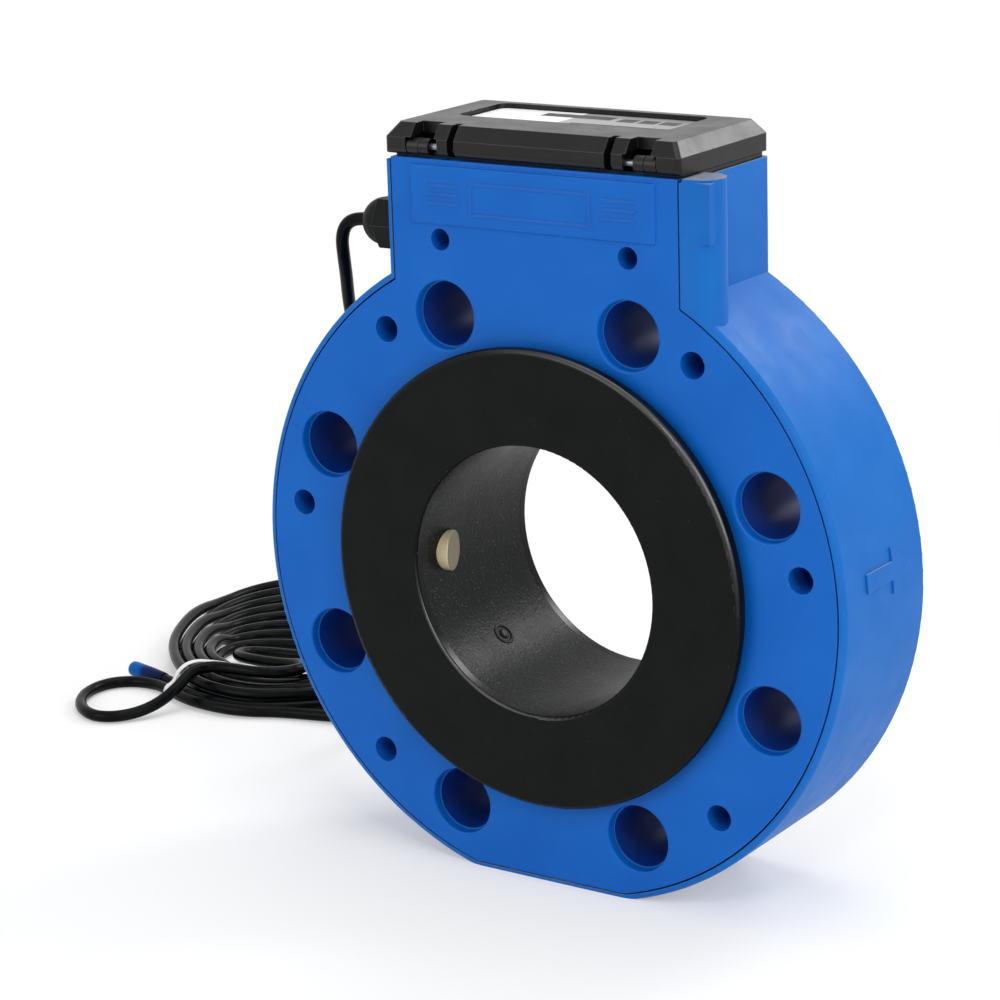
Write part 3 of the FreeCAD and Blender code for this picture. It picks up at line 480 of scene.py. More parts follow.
def mottle(tree, size_mm, first, second, detail=CLOUD_DETAIL):
    """Two close shades in soft patches of about a size."""
    place = add(tree, "ShaderNodeTexCoord").outputs["Object"]
    cloud = add(tree, "ShaderNodeTexNoise", {"Vector": place, "Scale": per_metre(size_mm), "Detail": detail})
    shades = add(tree, "ShaderNodeValToRGB", {"Fac": cloud.outputs["Fac"]},
                 stops=((CLOUD_LOW, first), (CLOUD_HIGH, second)))
    return shades.outputs["Color"]


def wander(tree, size_mm, low, high):
    """A value that wanders between two limits over patches of about a size."""
    place = add(tree, "ShaderNodeTexCoord").outputs["Object"]
    cloud = add(tree, "ShaderNodeTexNoise", {
        "Vector": place, "Scale": per_metre(size_mm), "Detail": CLOUD_DETAIL})
    spread = add(tree, "ShaderNodeMapRange", {
        "Value": cloud.outputs["Fac"], "From Min": CLOUD_LOW, "From Max": CLOUD_HIGH,
        "To Min": low, "To Max": high})
    return spread.outputs["Result"]


def grain(tree, size_mm, depth_mm, detail=CLOUD_DETAIL, over=None):
    """Hills and pits of about a size and a depth, on top of another normal where one is given."""
    place = add(tree, "ShaderNodeTexCoord").outputs["Object"]
    hills = add(tree, "ShaderNodeTexNoise", {"Vector": place, "Scale": per_metre(size_mm), "Detail": detail})
    sockets = {"Height": hills.outputs["Fac"], "Distance": depth_mm * MM, "Strength": 1.0}
    if over is not None:
        sockets["Normal"] = over
    return add(tree, "ShaderNodeBump", sockets).outputs["Normal"]


def dust_and_glint_specks(tree, colour, size_mm, start, code):
    """Sparse specks over a colour, drawn larger than real so that they show: dust on the rubber, painted
    glints on the liner.
    """
    place = add(tree, "ShaderNodeTexCoord").outputs["Object"]
    spots = add(tree, "ShaderNodeTexNoise", {"Vector": place, "Scale": per_metre(size_mm), "Detail": 0.0})
    share = add(tree, "ShaderNodeMapRange", {
        "Value": spots.outputs["Fac"], "From Min": start, "From Max": start + SPECK_EDGE})
    mixed = add(tree, "ShaderNodeMix", {
        MIX_SHARE: share.outputs["Result"], MIX_FIRST: colour, MIX_SECOND: linear(code)}, data_type="RGBA")
    return mixed.outputs[MIX_RESULT]


def worn_edges(tree, shader, rounded):
    """Raises the shader's gloss level where an edge is rounded."""
    gloss = shader.inputs["Specular IOR Level"]
    flat = add(tree, "ShaderNodeNewGeometry").outputs["Normal"]
    lean = add(tree, "ShaderNodeVectorMath", {0: rounded, 1: flat}, operation="DOT_PRODUCT")
    level = add(tree, "ShaderNodeMapRange", {
        "Value": lean.outputs["Value"], "From Min": EDGE_FLAT, "From Max": EDGE_ROUND,
        "To Min": gloss.default_value, "To Max": EDGE_POLISH})
    tree.links.new(level.outputs["Result"], gloss)


def dress(tree, shader, colour, roughness=None, normal=None):
    """Links a colour, and a roughness and a normal where they vary, to the shader."""
    tree.links.new(colour, shader.inputs["Base Color"])
    if roughness is not None:
        tree.links.new(roughness, shader.inputs["Roughness"])
    if normal is not None:
        tree.links.new(normal, shader.inputs["Normal"])


def housing_hole_shade_and_grey_tops(tree, colour):
    """Painted shade darkening the walls in the bolt holes, and grey in patches on the level faces outside
    them.
    """
    place = add(tree, "ShaderNodeTexCoord").outputs["Object"]
    across = add(tree, "ShaderNodeVectorMath", {0: place, 1: (1.0, 0.0, 1.0)}, operation="MULTIPLY")
    radius = add(tree, "ShaderNodeVectorMath", {0: across.outputs["Vector"]}, operation="LENGTH")
    outside = add(tree, "ShaderNodeMapRange", {
        "Value": radius.outputs["Value"], "From Min": HOLES_END * MM, "From Max": OUTSIDE_START * MM})
    facing = add(tree, "ShaderNodeNewGeometry").outputs["Normal"]
    facing = add(tree, "ShaderNodeSeparateXYZ", {"Vector": facing}).outputs
    along = add(tree, "ShaderNodeMath", {0: facing["Y"]}, operation="ABSOLUTE").outputs["Value"]
    plain = add(tree, "ShaderNodeMath", {0: along, 1: outside.outputs["Result"]}, operation="MAXIMUM")
    # Painted shade: the walls inside the bolt holes take a deep blue, standing in for the shade there
    hole_shade = add(tree, "ShaderNodeMix", {
        MIX_SHARE: plain.outputs["Value"], MIX_FIRST: linear("#043486"),
        MIX_SECOND: colour}, data_type="RGBA")
    level = add(tree, "ShaderNodeMapRange", {
        "Value": facing["Z"], "From Min": LEVEL[0], "From Max": LEVEL[1]})
    open_level = add(tree, "ShaderNodeMath", {0: level.outputs["Result"], 1: outside.outputs["Result"]},
                     operation="MULTIPLY")
    share = add(tree, "ShaderNodeMath", {0: open_level.outputs["Value"], 1: wander(tree, 2.5, *GREY_COVER)},
                operation="MULTIPLY")
    # Grey, in patches, on the level faces that look up, outside the holes
    mixed = add(tree, "ShaderNodeMix", {
        MIX_SHARE: share.outputs["Value"], MIX_FIRST: hole_shade.outputs[MIX_RESULT],
        MIX_SECOND: linear("#8A887C")}, data_type="RGBA")
    return mixed.outputs[MIX_RESULT]


# A sparked mould leaves a grain of about a tenth of a millimetre, so each grain is drawn coarser, to show
def moulded(name, first, second, rough, grain_mm, depth_mm, edge_mm=0.25, recolour=None, **sockets):
    """A moulding: two close shades in soft patches, a fine grain, broken edges, and any further colouring,
    such as painted shade.
    """
    material, tree, shader = surface(name, **sockets)
    colour = mottle(tree, 22.0, first, second)
    if recolour:
        colour = recolour(tree, colour)
    rounded = add(tree, "ShaderNodeBevel", {"Radius": edge_mm * MM}, samples=EDGE_SAMPLES).outputs["Normal"]
    worn_edges(tree, shader, rounded)
    relief = grain(tree, grain_mm, depth_mm, detail=1.0, over=rounded)
    dress(tree, shader, colour, wander(tree, 9.0, *rough), relief)
    return material


# Nylon coloured through, from a finely sparked mould: an even satin blue
def cover_blue(colours):
    return moulded("Blue_nylon_fine_sparked", colours.cover, colours.cover_patches, rough=(0.36, 0.44),
                   grain_mm=0.5, depth_mm=0.004, Specular_IOR_Level=0.15)


# The same nylon from a coarser sparked mould: its grain scatters light at a slant, so it looks paler there
def housing_blue(colours):
    return moulded("Blue_nylon_coarse_sparked", colours.housing, colours.housing_patches, rough=(0.44, 0.54),
                   grain_mm=0.7, depth_mm=0.03, edge_mm=0.3, recolour=housing_hole_shade_and_grey_tops, Specular_IOR_Level=0.14)


# Moulded rubber: dull black with little dust, its grain drawn coarse to show, and lips polished by hands
def rubber():
    material, tree, shader = surface("Black_rubber_moulded", IOR=1.52)
    black = mottle(tree, 14.0, linear("#080A0A"), linear("#0E1010"), detail=3.0)
    colour = dust_and_glint_specks(tree, black, size_mm=0.6, start=0.86, code="#4A4C4A")
    facing = add(tree, "ShaderNodeNewGeometry").outputs["Normal"]
    rubbed = add(tree, "ShaderNodeVectorMath", {0: facing, 1: RUBBED_SIDE}, operation="DOT_PRODUCT")
    gloss = add(tree, "ShaderNodeMapRange", {
        "Value": rubbed.outputs["Value"], "From Min": RUBBED[0], "From Max": RUBBED[1],
        "To Min": RUBBER_GLOSS[0], "To Max": RUBBER_GLOSS[1]})
    tree.links.new(gloss.outputs["Result"], shader.inputs["Specular IOR Level"])
    rounded = add(tree, "ShaderNodeBevel", {"Radius": 0.4 * MM}, samples=EDGE_SAMPLES).outputs["Normal"]
    relief = grain(tree, size_mm=0.45, depth_mm=0.006, over=rounded)
    dress(tree, shader, colour, wander(tree, 11.0, low=0.24, high=0.32), relief)
    return material


# Fibre-filled polymer from a rough core: dark grey, grain drawn coarse to show, sparkles, and pale specks
# painted as glints
def liner_polymer():
    material, tree, shader = surface("Grey_fibre_filled_polymer", IOR=1.55, Specular_IOR_Level=0.09)
    grey = mottle(tree, 12.0, linear("#121414"), linear("#181A1A"), detail=3.0)
    # Painted glints: pale specks stand in for the sparkle of the liner's grain
    colour = dust_and_glint_specks(tree, grey, size_mm=0.5, start=0.74, code="#54585C")
    relief = grain(tree, size_mm=1.0, depth_mm=0.13, detail=3.0)
    dress(tree, shader, colour, wander(tree, 7.0, low=0.32, high=0.38), relief)
    return material


# Natural polymer, turned: warm beige, a soft sheen, marks drawn coarse to show, painted shade across the bore
def sensor_polymer():
    material, tree, shader = surface("Beige_polymer_turned", Specular_IOR_Level=0.35)
    turned = mottle(tree, 22.0, linear("#D8CBA2"), linear("#E2D5AE"))
    facing = add(tree, "ShaderNodeNewGeometry").outputs["Normal"]
    across = add(tree, "ShaderNodeSeparateXYZ", {"Vector": facing}).outputs["X"]
    across = add(tree, "ShaderNodeMath", {0: across}, operation="ABSOLUTE").outputs["Value"]
    # Painted shade: faces that look across the bore take a darker beige
    painted_shade = add(tree, "ShaderNodeMapRange", {"Value": across, "From Min": SHADED_FACING[0], "From Max": SHADED_FACING[1]})
    mixed = add(tree, "ShaderNodeMix", {
        MIX_SHARE: painted_shade.outputs["Result"], MIX_FIRST: turned,
        MIX_SECOND: linear("#857B63")}, data_type="RGBA")
    rounded = add(tree, "ShaderNodeBevel", {"Radius": 0.2 * MM}, samples=EDGE_SAMPLES).outputs["Normal"]
    relief = grain(tree, size_mm=0.4, depth_mm=0.004, detail=1.0, over=rounded)
    dress(tree, shader, mixed.outputs[MIX_RESULT], wander(tree, 9.0, low=0.40, high=0.52), relief)
    return material


# ABS coloured black, from a leather-fine mould: half gloss, with a sparkle in the grain
def lid_plastic(colours):
    return moulded("Black_ABS_grained", colours.lid, colours.lid_patches, rough=(0.28, 0.36),
                   grain_mm=0.42, depth_mm=0.02, edge_mm=0.3, Specular_IOR_Level=0.26)


# Nylon coloured black, straight from a plain mould: half dull
def gland_nylon():
    return moulded("Black_nylon_plain", linear("#0B0C0C"), linear("#131414"), rough=(0.42, 0.52),
                   grain_mm=0.6, depth_mm=0.006, edge_mm=0.3, Specular_IOR_Level=0.1)


# Printed polyester film: a white field and a grey one, with a satin lacquer
def label_film():
    material, tree, shader = surface("White_and_grey_film_printed", IOR=1.5)
    place = add(tree, "ShaderNodeTexCoord").outputs["Object"]
    across = add(tree, "ShaderNodeSeparateXYZ", {"Vector": place}).outputs["X"]
    low, high = (corner[0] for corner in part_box("lid_label"))
    share = add(tree, "ShaderNodeMapRange", {"Value": across, "From Min": low, "From Max": high})
    fields = add(tree, "ShaderNodeValToRGB", {"Fac": share.outputs["Result"]}, stops=(
        (0.0, linear("#F4F4F2")), (0.42, linear("#F0F0EE")),
        (0.43, linear("#9A9B9B")), (1.0, linear("#8C8D8E"))))
    relief = grain(tree, size_mm=1.5, depth_mm=0.004)
    dress(tree, shader, fields.outputs["Color"], wander(tree, 6.0, low=0.28, high=0.38), relief)
    return material


# Printer's ink on the film: flat black
def label_ink():
    return moulded("Black_ink_printed", linear("#141415"), linear("#1B1B1C"), rough=(0.4, 0.5),
                   grain_mm=0.8, depth_mm=0.002, edge_mm=0.05)


# Tool marks are finer than a tenth of a millimetre, and are drawn coarser, to show
def drawn_metal(name, first, second, rough, along):
    """Metal with fine marks drawn out along an axis."""
    material, tree, shader = surface(name, Metallic=1.0)
    place = add(tree, "ShaderNodeTexCoord").outputs["Object"]
    drawn = add(tree, "ShaderNodeMapping", {"Vector": place, "Scale": along}).outputs["Vector"]
    marks = add(tree, "ShaderNodeTexNoise", {
        "Vector": drawn, "Scale": per_metre(0.6), "Detail": CLOUD_DETAIL}).outputs["Fac"]
    shades = add(tree, "ShaderNodeValToRGB", {"Fac": marks}, stops=(
        (CLOUD_LOW, linear(first)), (CLOUD_HIGH, linear(second))))
    gloss = add(tree, "ShaderNodeMapRange", {
        "Value": marks, "From Min": CLOUD_LOW, "From Max": CLOUD_HIGH,
        "To Min": rough[0], "To Max": rough[1]})
    depth = add(tree, "ShaderNodeBump", {"Height": marks, "Distance": 0.004 * MM, "Strength": 1.0})
    dress(tree, shader, shades.outputs["Color"], gloss.outputs["Result"], depth.outputs["Normal"])
    return material


# Ground steel: bright, with fine marks along the pin
def pin_steel():
    return drawn_metal("Steel_ground", "#6E7276", "#8A8E92", rough=(0.28, 0.40), along=(0.1, 1.0, 1.0))


# Steel with a zinc coat: pale grey, slightly dull
def zinc_steel():
    return drawn_metal("Steel_zinc_plated", "#9C9FA3", "#B9BCBF", rough=(0.32, 0.44), along=(1.0, 0.3, 1.0))


# Turned brass: yellow, with marks round the nut
def brass():
    return drawn_metal("Brass_turned", "#B08D45", "#CBAA62", rough=(0.26, 0.38), along=(0.2, 1.0, 1.0))


# Clear acrylic, polished: hardly seen but for its reflections
def window_acrylic():
    material, tree, shader = surface("Clear_acrylic_polished", IOR=1.49, Transmission_Weight=1.0)
    colour = mottle(tree, 20.0, linear("#F2F6F5"), linear("#F7FAF9"))
    dress(tree, shader, colour, wander(tree, 12.0, low=0.02, high=0.05))
    return material


# Display glass over a grey-green backing: smooth and cool
def display_glass():
    return moulded("Grey_green_display_glass", linear("#8E9784"), linear("#99A28E"), rough=(0.10, 0.16),
                   grain_mm=3.0, depth_mm=0.001, edge_mm=0.1)


# Glass-cloth laminate under a green mask: the cloth's weave, drawn coarse to show, gives a fine grid
def board_laminate():
    material, tree, shader = surface("Green_laminate_masked", IOR=1.53)
    place = add(tree, "ShaderNodeTexCoord").outputs["Object"]
    weave = add(tree, "ShaderNodeTexChecker", {"Vector": place, "Scale": per_metre(0.8)}).outputs["Fac"]
    depth = add(tree, "ShaderNodeBump", {"Height": weave, "Distance": 0.003 * MM, "Strength": 1.0})
    colour = mottle(tree, 8.0, linear("#0E5A34"), linear("#14683C"))
    dress(tree, shader, colour, wander(tree, 5.0, low=0.3, high=0.4), depth.outputs["Normal"])
    return material


# Shrunk vinyl sleeve: glossy green, slightly wrinkled
def cell_sleeve():
    return moulded("Green_vinyl_shrunk", linear("#2A6C46"), linear("#327A50"), rough=(0.20, 0.28),
                   grain_mm=4.0, depth_mm=0.03, edge_mm=0.4)


# Extruded vinyl: black, half gloss, faintly uneven
def cable_vinyl(colours):
    material, tree, shader = surface("Black_vinyl_extruded", IOR=1.53, Specular_IOR_Level=0.06)
    colour = mottle(tree, 9.0, colours.cable, colours.cable_patches)
    waves = grain(tree, size_mm=2.4, depth_mm=0.05, detail=1.0)
    dress(tree, shader, colour, wander(tree, 6.0, low=0.20, high=0.28), waves)
    return material


# Extruded silicone sleeve: dull red
def wire_sleeve():
    return moulded("Red_silicone_extruded", linear("#8E1C1C"), linear("#9C2424"), rough=(0.45, 0.55),
                   grain_mm=0.8, depth_mm=0.006, edge_mm=0.1)


# Dipped vinyl: clear enough at its thin end to glow a lighter blue
def sleeve_vinyl(length):
    material, tree, shader = surface("Blue_vinyl_dipped", IOR=1.53, Specular_IOR_Level=0.05)
    place = add(tree, "ShaderNodeTexCoord").outputs["Object"]
    along = add(tree, "ShaderNodeSeparateXYZ", {"Vector": place}).outputs["Z"]
    share = add(tree, "ShaderNodeMapRange", {"Value": along, "From Max": length}).outputs["Result"]
    blues = add(tree, "ShaderNodeValToRGB", {"Fac": share}, stops=(
        (0.0, linear("#0C1638")), (0.5, linear("#0E2460")),
        (0.62, linear("#0252A0")), (1.0, linear("#0264B0"))))
    relief = grain(tree, size_mm=1.2, depth_mm=0.02)
    dress(tree, shader, blues.outputs["Color"], wander(tree, 3.0, low=0.26, high=0.36), relief)
    return material


# Vinyl pressed over a wire: white, and a little uneven
def tie_vinyl():
    return moulded("White_vinyl_pressed", linear("#E8E8E5"), linear("#F2F2F0"), rough=(0.40, 0.52),
                   grain_mm=0.9, depth_mm=0.02, edge_mm=0.1)


# Nearly white paper: takes the meter's shadow softly, and is plain white away from it
def floor_paper():
    material, tree, shader = surface("White_paper_matt", Roughness=0.9, Specular_IOR_Level=0.1)
    dress(tree, shader, mottle(tree, 300.0, linear("#F6F6F6"), linear("#FAFAFA")))
    glow = add(tree, "ShaderNodeEmission", {"Color": linear("#FFFFFF"), "Strength": 1.0}).outputs["Emission"]
    place = add(tree, "ShaderNodeTexCoord").outputs["Object"]
    far = add(tree, "ShaderNodeVectorMath", {0: place}, operation="LENGTH").outputs["Value"]
    white = add(tree, "ShaderNodeMapRange", {
        "Value": far, "From Min": SHADOW_FADES[0], "From Max": SHADOW_FADES[1],
        "To Min": SHADOW_WHITE, "To Max": 1.0}, interpolation_type="SMOOTHSTEP")
    share = add(tree, "ShaderNodeMath", {0: seen_straight(tree), 1: white.outputs["Result"]},
                operation="MULTIPLY").outputs["Value"]
    mixed = add(tree, "ShaderNodeMixShader", {0: share, 1: shader.outputs["BSDF"], 2: glow}).outputs["Shader"]
    tree.links.new(mixed, tree.nodes["Material Output"].inputs["Surface"])
    return material


def seen_straight(tree):
    """1 where the floor or the sky is looked at, in a mirror or through glass too, and 0 where it lights."""
    rays = add(tree, "ShaderNodeLightPath").outputs
    shown = rays["Is Camera Ray"]
    for ray in ("Is Glossy Ray", "Is Transmission Ray"):
        shown = add(tree, "ShaderNodeMath", {0: shown, 1: rays[ray]}, operation="MAXIMUM").outputs["Value"]
    return shown


def paint(material, *names):
    """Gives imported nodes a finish."""
    for name in names:
        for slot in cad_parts[name].material_slots:
            slot.material = material


def mesh_piece(name, mesh, material, body, place=None):
    """A new object from a finished bmesh, at a place if one is given, riding on a body."""
    data = bpy.data.meshes.new(name)
    mesh.normal_update()
    mesh.to_mesh(data)
    mesh.free()
    data.materials.append(material)
    piece = bpy.data.objects.new(name, data)
    bpy.context.scene.collection.objects.link(piece)
    if place is not None:
        piece.matrix_world = place
    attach(piece, body)
    return piece


def lathe(profile, steps):
    """A closed form turned about Z from points of radius and height, in metres."""
    mesh = bmesh.new()
    points = [mesh.verts.new((radius, 0.0, height)) for radius, height in profile]
    edges = [mesh.edges.new(pair) for pair in zip(points, points[1:])]
    bmesh.ops.spin(mesh, geom=points + edges, cent=(0, 0, 0), axis=(0, 0, 1), angle=math.tau, steps=steps,
                   use_merge=True)
    bmesh.ops.remove_doubles(mesh, verts=mesh.verts, dist=1e-7)
    bmesh.ops.recalc_face_normals(mesh, faces=mesh.faces)
    for face in mesh.faces:
        face.smooth = True
    return mesh


def aimed(place, direction):
    """A matrix that puts a form's own Z along a direction, at a place."""
    return Matrix.Translation(place) @ direction.to_track_quat("Z", "Y").to_matrix().to_4x4()


class FLOWMETER_OT_view(Operator):
    """Sets the camera, the lamps, the sky and the floor"""

    bl_idname = "flowmeter.view"
    bl_label = "Camera and studio"

    def execute(self, context):
        view = context.scene.flow_meter_view
        self.camera(context.scene, view)
        self.sky(context.scene, view)
        for name, place, size, power in LAMPS:
            self.lamp(context.scene, name, Vector(place), size, power)
        self.floor(context.scene, view)
        context.scene.view_settings.view_transform = "Standard"
        return {"FINISHED"}

    def camera(self, scene, view):
        back = Vector((math.sin(view.yaw) * math.cos(view.pitch), -math.cos(view.yaw) * math.cos(view.pitch),
                       math.sin(view.pitch)))
        level = Vector((math.cos(view.yaw), math.sin(view.yaw), 0.0))
        upright = back.cross(level)
        right = level * math.cos(view.roll) + upright * math.sin(view.roll)
        up = upright * math.cos(view.roll) - level * math.sin(view.roll)
        data = bpy.data.cameras.new("Camera")
        data.lens = view.lens
        data.sensor_width = SENSOR_WIDTH
        data.clip_start = 0.01
        camera = bpy.data.objects.new("Camera", data)
        turned = Matrix((right, up, back)).transposed().to_4x4()
        camera.matrix_world = Matrix.Translation(view.place) @ turned
        scene.collection.objects.link(camera)
        scene.camera = camera

    def sky(self, scene, view):
        world = bpy.data.worlds.new("Studio")
        world.use_nodes = True
        scene.world = world
        tree = world.node_tree
        place = add(tree, "ShaderNodeTexCoord").outputs["Generated"]
        height = add(tree, "ShaderNodeSeparateXYZ", {"Vector": place}).outputs["Z"]
        soft = add(tree, "ShaderNodeMapRange", {
            "Value": height, "From Min": SKY_ENDS[0], "From Max": SKY_ENDS[1],
            "To Min": SKY_SHARES[0] * view.sky, "To Max": SKY_SHARES[1] * view.sky})
        bright = add(tree, "ShaderNodeMath", {0: seen_straight(tree), 1: soft.outputs["Result"]},
                     operation="MAXIMUM")
        shown = tree.nodes["Background"]
        shown.inputs["Color"].default_value = linear("#FFFFFF")
        tree.links.new(bright.outputs["Value"], shown.inputs["Strength"])

    def lamp(self, scene, name, place, size, power):
        data = bpy.data.lights.new(name, "AREA")
        data.shape = "SQUARE"
        data.size = size
        data.energy = power
        lamp = bpy.data.objects.new(name, data)
        lamp.matrix_world = aimed(place, place)
        scene.collection.objects.link(lamp)

    def floor(self, scene, view):
        mesh = bmesh.new()
        bmesh.ops.create_grid(mesh, x_segments=2, y_segments=2, size=view.floor_size / 2)
        data = bpy.data.meshes.new("Floor")
        mesh.to_mesh(data)
        mesh.free()
        data.materials.append(floor_paper())
        floor = bpy.data.objects.new("Floor", data)
        floor.location.z = FLOOR * MM
        scene.collection.objects.link(floor)


class FLOWMETER_OT_cable(Operator):
    """Lays the signal cable, with its end sleeve and its tie"""

    bl_idname = "flowmeter.cable"
    bl_label = "Signal cable"

    def execute(self, context):
        cable = context.scene.flow_meter_cable
        route = cable_route(cable)
        cord = self.cord(route, cable, cable_vinyl(context.scene.flow_meter_colours))
        sleeve = self.sleeve(route[-1], cable)
        tie = self.tie(cable)
        return {"FINISHED"}

    def curve(self, name, material):
        data = bpy.data.curves.new(name, "CURVE")
        data.materials.append(material)
        piece = bpy.data.objects.new(name, data)
        bpy.context.scene.collection.objects.link(piece)
        return piece

    def cord(self, route, cable, material):
        piece = self.curve("signal_cord", material)
        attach(piece, METER)
        data = piece.data
        data.dimensions = "3D"
        data.bevel_depth = 1.0
        data.bevel_resolution = 5
        data.resolution_u = 8
        data.use_fill_caps = True
        spline = data.splines.new("NURBS")
        spline.points.add(len(route) - 1)
        for point, place in zip(spline.points, route):
            point.co = (*place, 1.0)
            point.radius = cable.diameter / 2
        spline.order_u = 3
        spline.use_endpoint_u = True
        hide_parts("signal_cable", "cable_coil", "cable_loop", "cable_tail")
        return piece

    def sleeve(self, root, cable):
        tip = metres(*SLEEVE_TIP, 0.0)
        tip.z = root.z
        along = tip - root
        length = along.length
        bore = cable.diameter / 2 + SLEEVE_GAP * MM
        wall = SLEEVE_WALL * MM
        start = -SLEEVE_OVERLAP * MM
        profile = [
            (bore, start),
            (bore + 0.15 * wall, start),
            (bore + 0.35 * wall, start + MM),
            (bore + 0.9 * wall, 0.3 * length),
            (bore + wall, 0.6 * length),
            (bore + 1.2 * wall, length - 1.2 * MM),
            (bore + wall, length - 0.4 * MM),
            (bore + 0.6 * wall, length),
            (bore + 0.2 * wall, length - 0.2 * MM),
            (bore, length - MM),
            (bore, 0.55 * length),
            (0.0, 0.55 * length),
        ]
        form = lathe(profile, steps=40)
        piece = mesh_piece("cord_end_sleeve", form, sleeve_vinyl(length), METER, aimed(root, along))
        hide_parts("cable_end_cap")
        return piece

    def tie(self, cable):
        angle = math.radians(TIE_PLANE_ANGLE)
        across = inward(angle).to_3d()
        up = Vector((0.0, 0.0, 1.0))
        piece = self.curve("cord_tie", tie_vinyl())
        data = piece.data
        data.dimensions = "2D"
        data.fill_mode = "NONE"
        data.extrude = cable.tie_width / cable.tie_thickness - 1.0
        data.bevel_depth = 1.0
        data.bevel_resolution = 3
        data.resolution_u = 12
        spline = data.splines.new("NURBS")
        spline.points.add(len(TIE_LOOP) - 1)
        for point, (x, y) in zip(spline.points, TIE_LOOP):
            point.co = (x * MM, y * MM, 0.0, 1.0)
            point.radius = cable.tie_thickness / 2
        spline.use_cyclic_u = True
        spline.order_u = 3
        turned = Matrix((across, up, across.cross(up))).transposed().to_4x4()
        edge = outer_loop(angle)
        piece.matrix_world = Matrix.Translation(metres(edge.x, edge.y, FLOOR)) @ turned
        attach(piece, METER)
        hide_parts("cable_tie")
        return piece


class FLOWMETER_OT_mouldings(Operator):
    """Gives the housing, cover, lid and register their moulded finishes"""

    bl_idname = "flowmeter.mouldings"
    bl_label = "Mouldings"

    def execute(self, context):
        colours = context.scene.flow_meter_colours
        paint(housing_blue(colours), "rear_housing")
        paint(cover_blue(colours), "front_cover")
        paint(lid_plastic(colours), "lid", "register_frame", "battery_clip")
        paint(gland_nylon(), "gland_body", "gland_nut", "gland_locknut")
        return {"FINISHED"}


class FLOWMETER_OT_bore(Operator):
    """Finishes the bore: liner, sealing rings, sensors and the liner's gate mark"""

    bl_idname = "flowmeter.bore"
    bl_label = "Bore"

    def execute(self, context):
        marks = context.scene.flow_meter_marks
        liner = liner_polymer()
        paint(liner, "flow_tube")
        paint(rubber(), "front_gasket", "rear_gasket", "cover_seal", "transducer_seals", "register_seal",
              "gland_seal")
        paint(sensor_polymer(), "upstream_transducer", "downstream_transducer")
        self.gate_mark(marks, liner)
        return {"FINISHED"}

    def gate_mark(self, marks, liner):
        """A low round boss with a rim and a nipped-off stub, where the mould was filled."""
        radius = marks.gate_radius
        rise = GATE_RISE * radius
        profile = [
            (radius, -GATE_SUNK * radius),
            (radius, 0.4 * rise),
            (0.95 * radius, 0.9 * rise),
            (0.88 * radius, rise),
            (0.74 * radius, 0.9 * rise),
            (0.68 * radius, 0.3 * rise),
            (0.44 * radius, 0.2 * rise),
            (0.38 * radius, 1.1 * rise),
            (0.28 * radius, 1.3 * rise),
            (0.0, 1.35 * rise),
        ]
        angle = math.radians(GATE_ANGLE)
        outward = Vector((math.cos(angle), 0.0, math.sin(angle)))
        place = aimed(outward * BORE_RADIUS * MM + metres(0.0, GATE_ALONG, 0.0), -outward)
        mesh_piece("bore_gate_mark", lathe(profile, steps=48), liner, METER, place)


class FLOWMETER_OT_inner_parts(Operator):
    """Finishes what the register and the housing hold inside, and the fasteners"""

    bl_idname = "flowmeter.inner_parts"
    bl_label = "Inner parts and fasteners"

    def execute(self, context):
        paint(pin_steel(), "hinge_pins")
        paint(zinc_steel(), "cover_screws", "board_screws")
        paint(brass(), "transducer_nuts")
        paint(window_acrylic(), "display_window")
        paint(display_glass(), "lcd_display")
        paint(board_laminate(), "circuit_board")
        paint(cell_sleeve(), "battery")
        paint(wire_sleeve(), "transducer_leads")
        paint(cable_vinyl(context.scene.flow_meter_colours), "inner_lead")
        return {"FINISHED"}


class FLOWMETER_OT_label(Operator):
    """Finishes the lid's label and lays plain fields on it"""

    bl_idname = "flowmeter.label"
    bl_label = "Label"

    def execute(self, context):
        paint(label_film(), "lid_label")
        low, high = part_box("lid_label")
        wide, deep = high[0] - low[0], high[1] - low[1]
        mesh = bmesh.new()
        for left, right, front, rear in LABEL_FIELDS:
            corners = ((left, front), (right, front), (right, rear), (left, rear))
            lower = [(low[0] + x * wide, low[1] + y * deep, high[2] - FIELD_SUNK * MM) for x, y in corners]
            face = mesh.faces.new([mesh.verts.new(corner) for corner in lower])
            raised = bmesh.ops.extrude_face_region(mesh, geom=[face])["geom"]
            verts = [item for item in raised if isinstance(item, bmesh.types.BMVert)]
            bmesh.ops.translate(mesh, verts=verts, vec=(0.0, 0.0, FIELD_THICKNESS * MM))
        bmesh.ops.recalc_face_normals(mesh, faces=mesh.faces)
        mesh_piece("label_fields", mesh, label_ink(), LID)
        return {"FINISHED"}


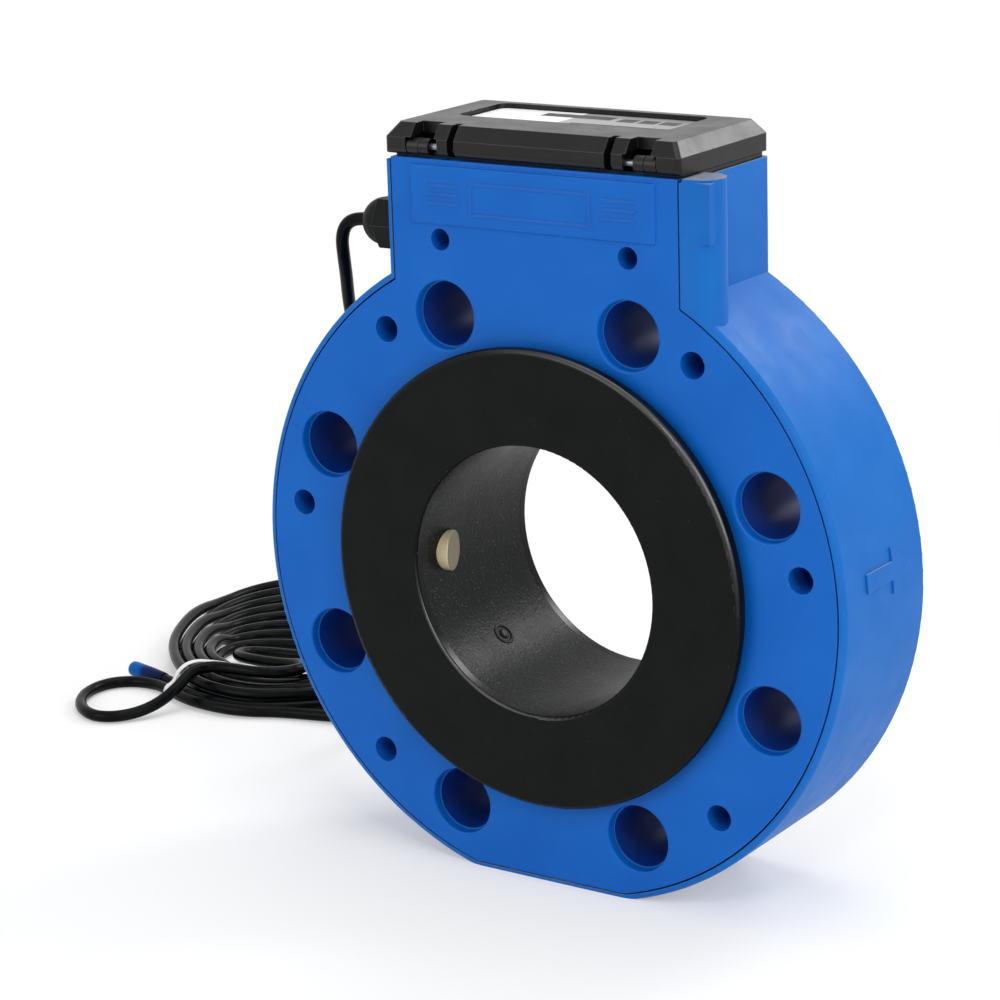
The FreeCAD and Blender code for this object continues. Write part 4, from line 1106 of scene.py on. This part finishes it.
class FLOWMETER_OT_flow_arrow(Operator):
    """Raises a plain flow arrow on the ring's right side"""

    bl_idname = "flowmeter.flow_arrow"
    bl_label = "Flow arrow"

    def execute(self, context):
        marks = context.scene.flow_meter_marks
        shaft, head = marks.arrow_shaft / 2, marks.arrow_head / 2
        upper = [(marks.arrow_tail, shaft), (marks.arrow_shoulder, shaft), (marks.arrow_shoulder, head)]
        lower = [(y, -half) for y, half in reversed(upper)]
        outline = upper + [(marks.arrow_tip, 0.0)] + lower
        mesh = bmesh.new()
        face = mesh.faces.new([mesh.verts.new((0.0, y, z)) for y, z in outline])
        raised = bmesh.ops.extrude_face_region(mesh, geom=[face])["geom"]
        top = [item for item in raised if isinstance(item, bmesh.types.BMVert)]
        bmesh.ops.translate(mesh, verts=top, vec=(marks.arrow_rise, 0.0, 0.0))
        for k in range(1, ARROW_CUTS):
            level = head * (2 * k / ARROW_CUTS - 1)
            bmesh.ops.bisect_plane(mesh, geom=mesh.verts[:] + mesh.edges[:] + mesh.faces[:],
                                   plane_co=(0, 0, level), plane_no=(0, 0, 1))
        ring = RING_RADIUS * MM
        for vert in mesh.verts:
            radius = ring + (vert.co.x if vert.co.x > 0 else -ARROW_SUNK * MM)
            angle = marks.arrow_height + vert.co.z / ring
            vert.co = Vector((radius * math.cos(angle), vert.co.y, radius * math.sin(angle)))
        bmesh.ops.recalc_face_normals(mesh, faces=mesh.faces)
        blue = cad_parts["rear_housing"].material_slots[0].material
        piece = mesh_piece("flow_arrow", mesh, blue, METER)
        broken = piece.modifiers.new("Broken_edges", "BEVEL")
        broken.width = ARROW_EDGE * MM
        broken.segments = 2
        broken.limit_method = "ANGLE"
        return {"FINISHED"}


OPERATORS = (
    FLOWMETER_OT_view,
    FLOWMETER_OT_cable,
    FLOWMETER_OT_mouldings,
    FLOWMETER_OT_bore,
    FLOWMETER_OT_inner_parts,
    FLOWMETER_OT_label,
    FLOWMETER_OT_flow_arrow,
)


class FLOWMETER_PT_looks(Panel):
    """Lists the meter's pieces and the sizes that can be changed"""

    bl_idname = "FLOWMETER_PT_looks"
    bl_label = "Flow meter"
    bl_space_type = "VIEW_3D"
    bl_region_type = "UI"
    bl_category = "Flow meter"

    def draw(self, context):
        layout = self.layout
        for operator in OPERATORS:
            layout.operator(operator.bl_idname)
        for group in GROUPS:
            settings = getattr(context.scene, group)
            for name in settings.__annotations__:
                layout.prop(settings, name)


GROUPS = {
    "flow_meter_view": FlowMeterView,
    "flow_meter_cable": FlowMeterCable,
    "flow_meter_colours": FlowMeterColours,
    "flow_meter_marks": FlowMeterMarks,
}


def register():
    for group in GROUPS.values():
        bpy.utils.register_class(group)
    for name, group in GROUPS.items():
        setattr(bpy.types.Scene, name, PointerProperty(type=group))
    for operator in OPERATORS:
        bpy.utils.register_class(operator)
    bpy.utils.register_class(FLOWMETER_PT_looks)


def unregister():
    bpy.utils.unregister_class(FLOWMETER_PT_looks)
    for operator in reversed(OPERATORS):
        bpy.utils.unregister_class(operator)
    for name, group in GROUPS.items():
        delattr(bpy.types.Scene, name)
        bpy.utils.unregister_class(group)


def main():
    register()
    bpy.ops.flowmeter.view()
    bpy.ops.flowmeter.cable()
    bpy.ops.flowmeter.mouldings()
    bpy.ops.flowmeter.bore()
    bpy.ops.flowmeter.inner_parts()
    bpy.ops.flowmeter.label()
    bpy.ops.flowmeter.flow_arrow()


if __name__ == "__main__":
    main()
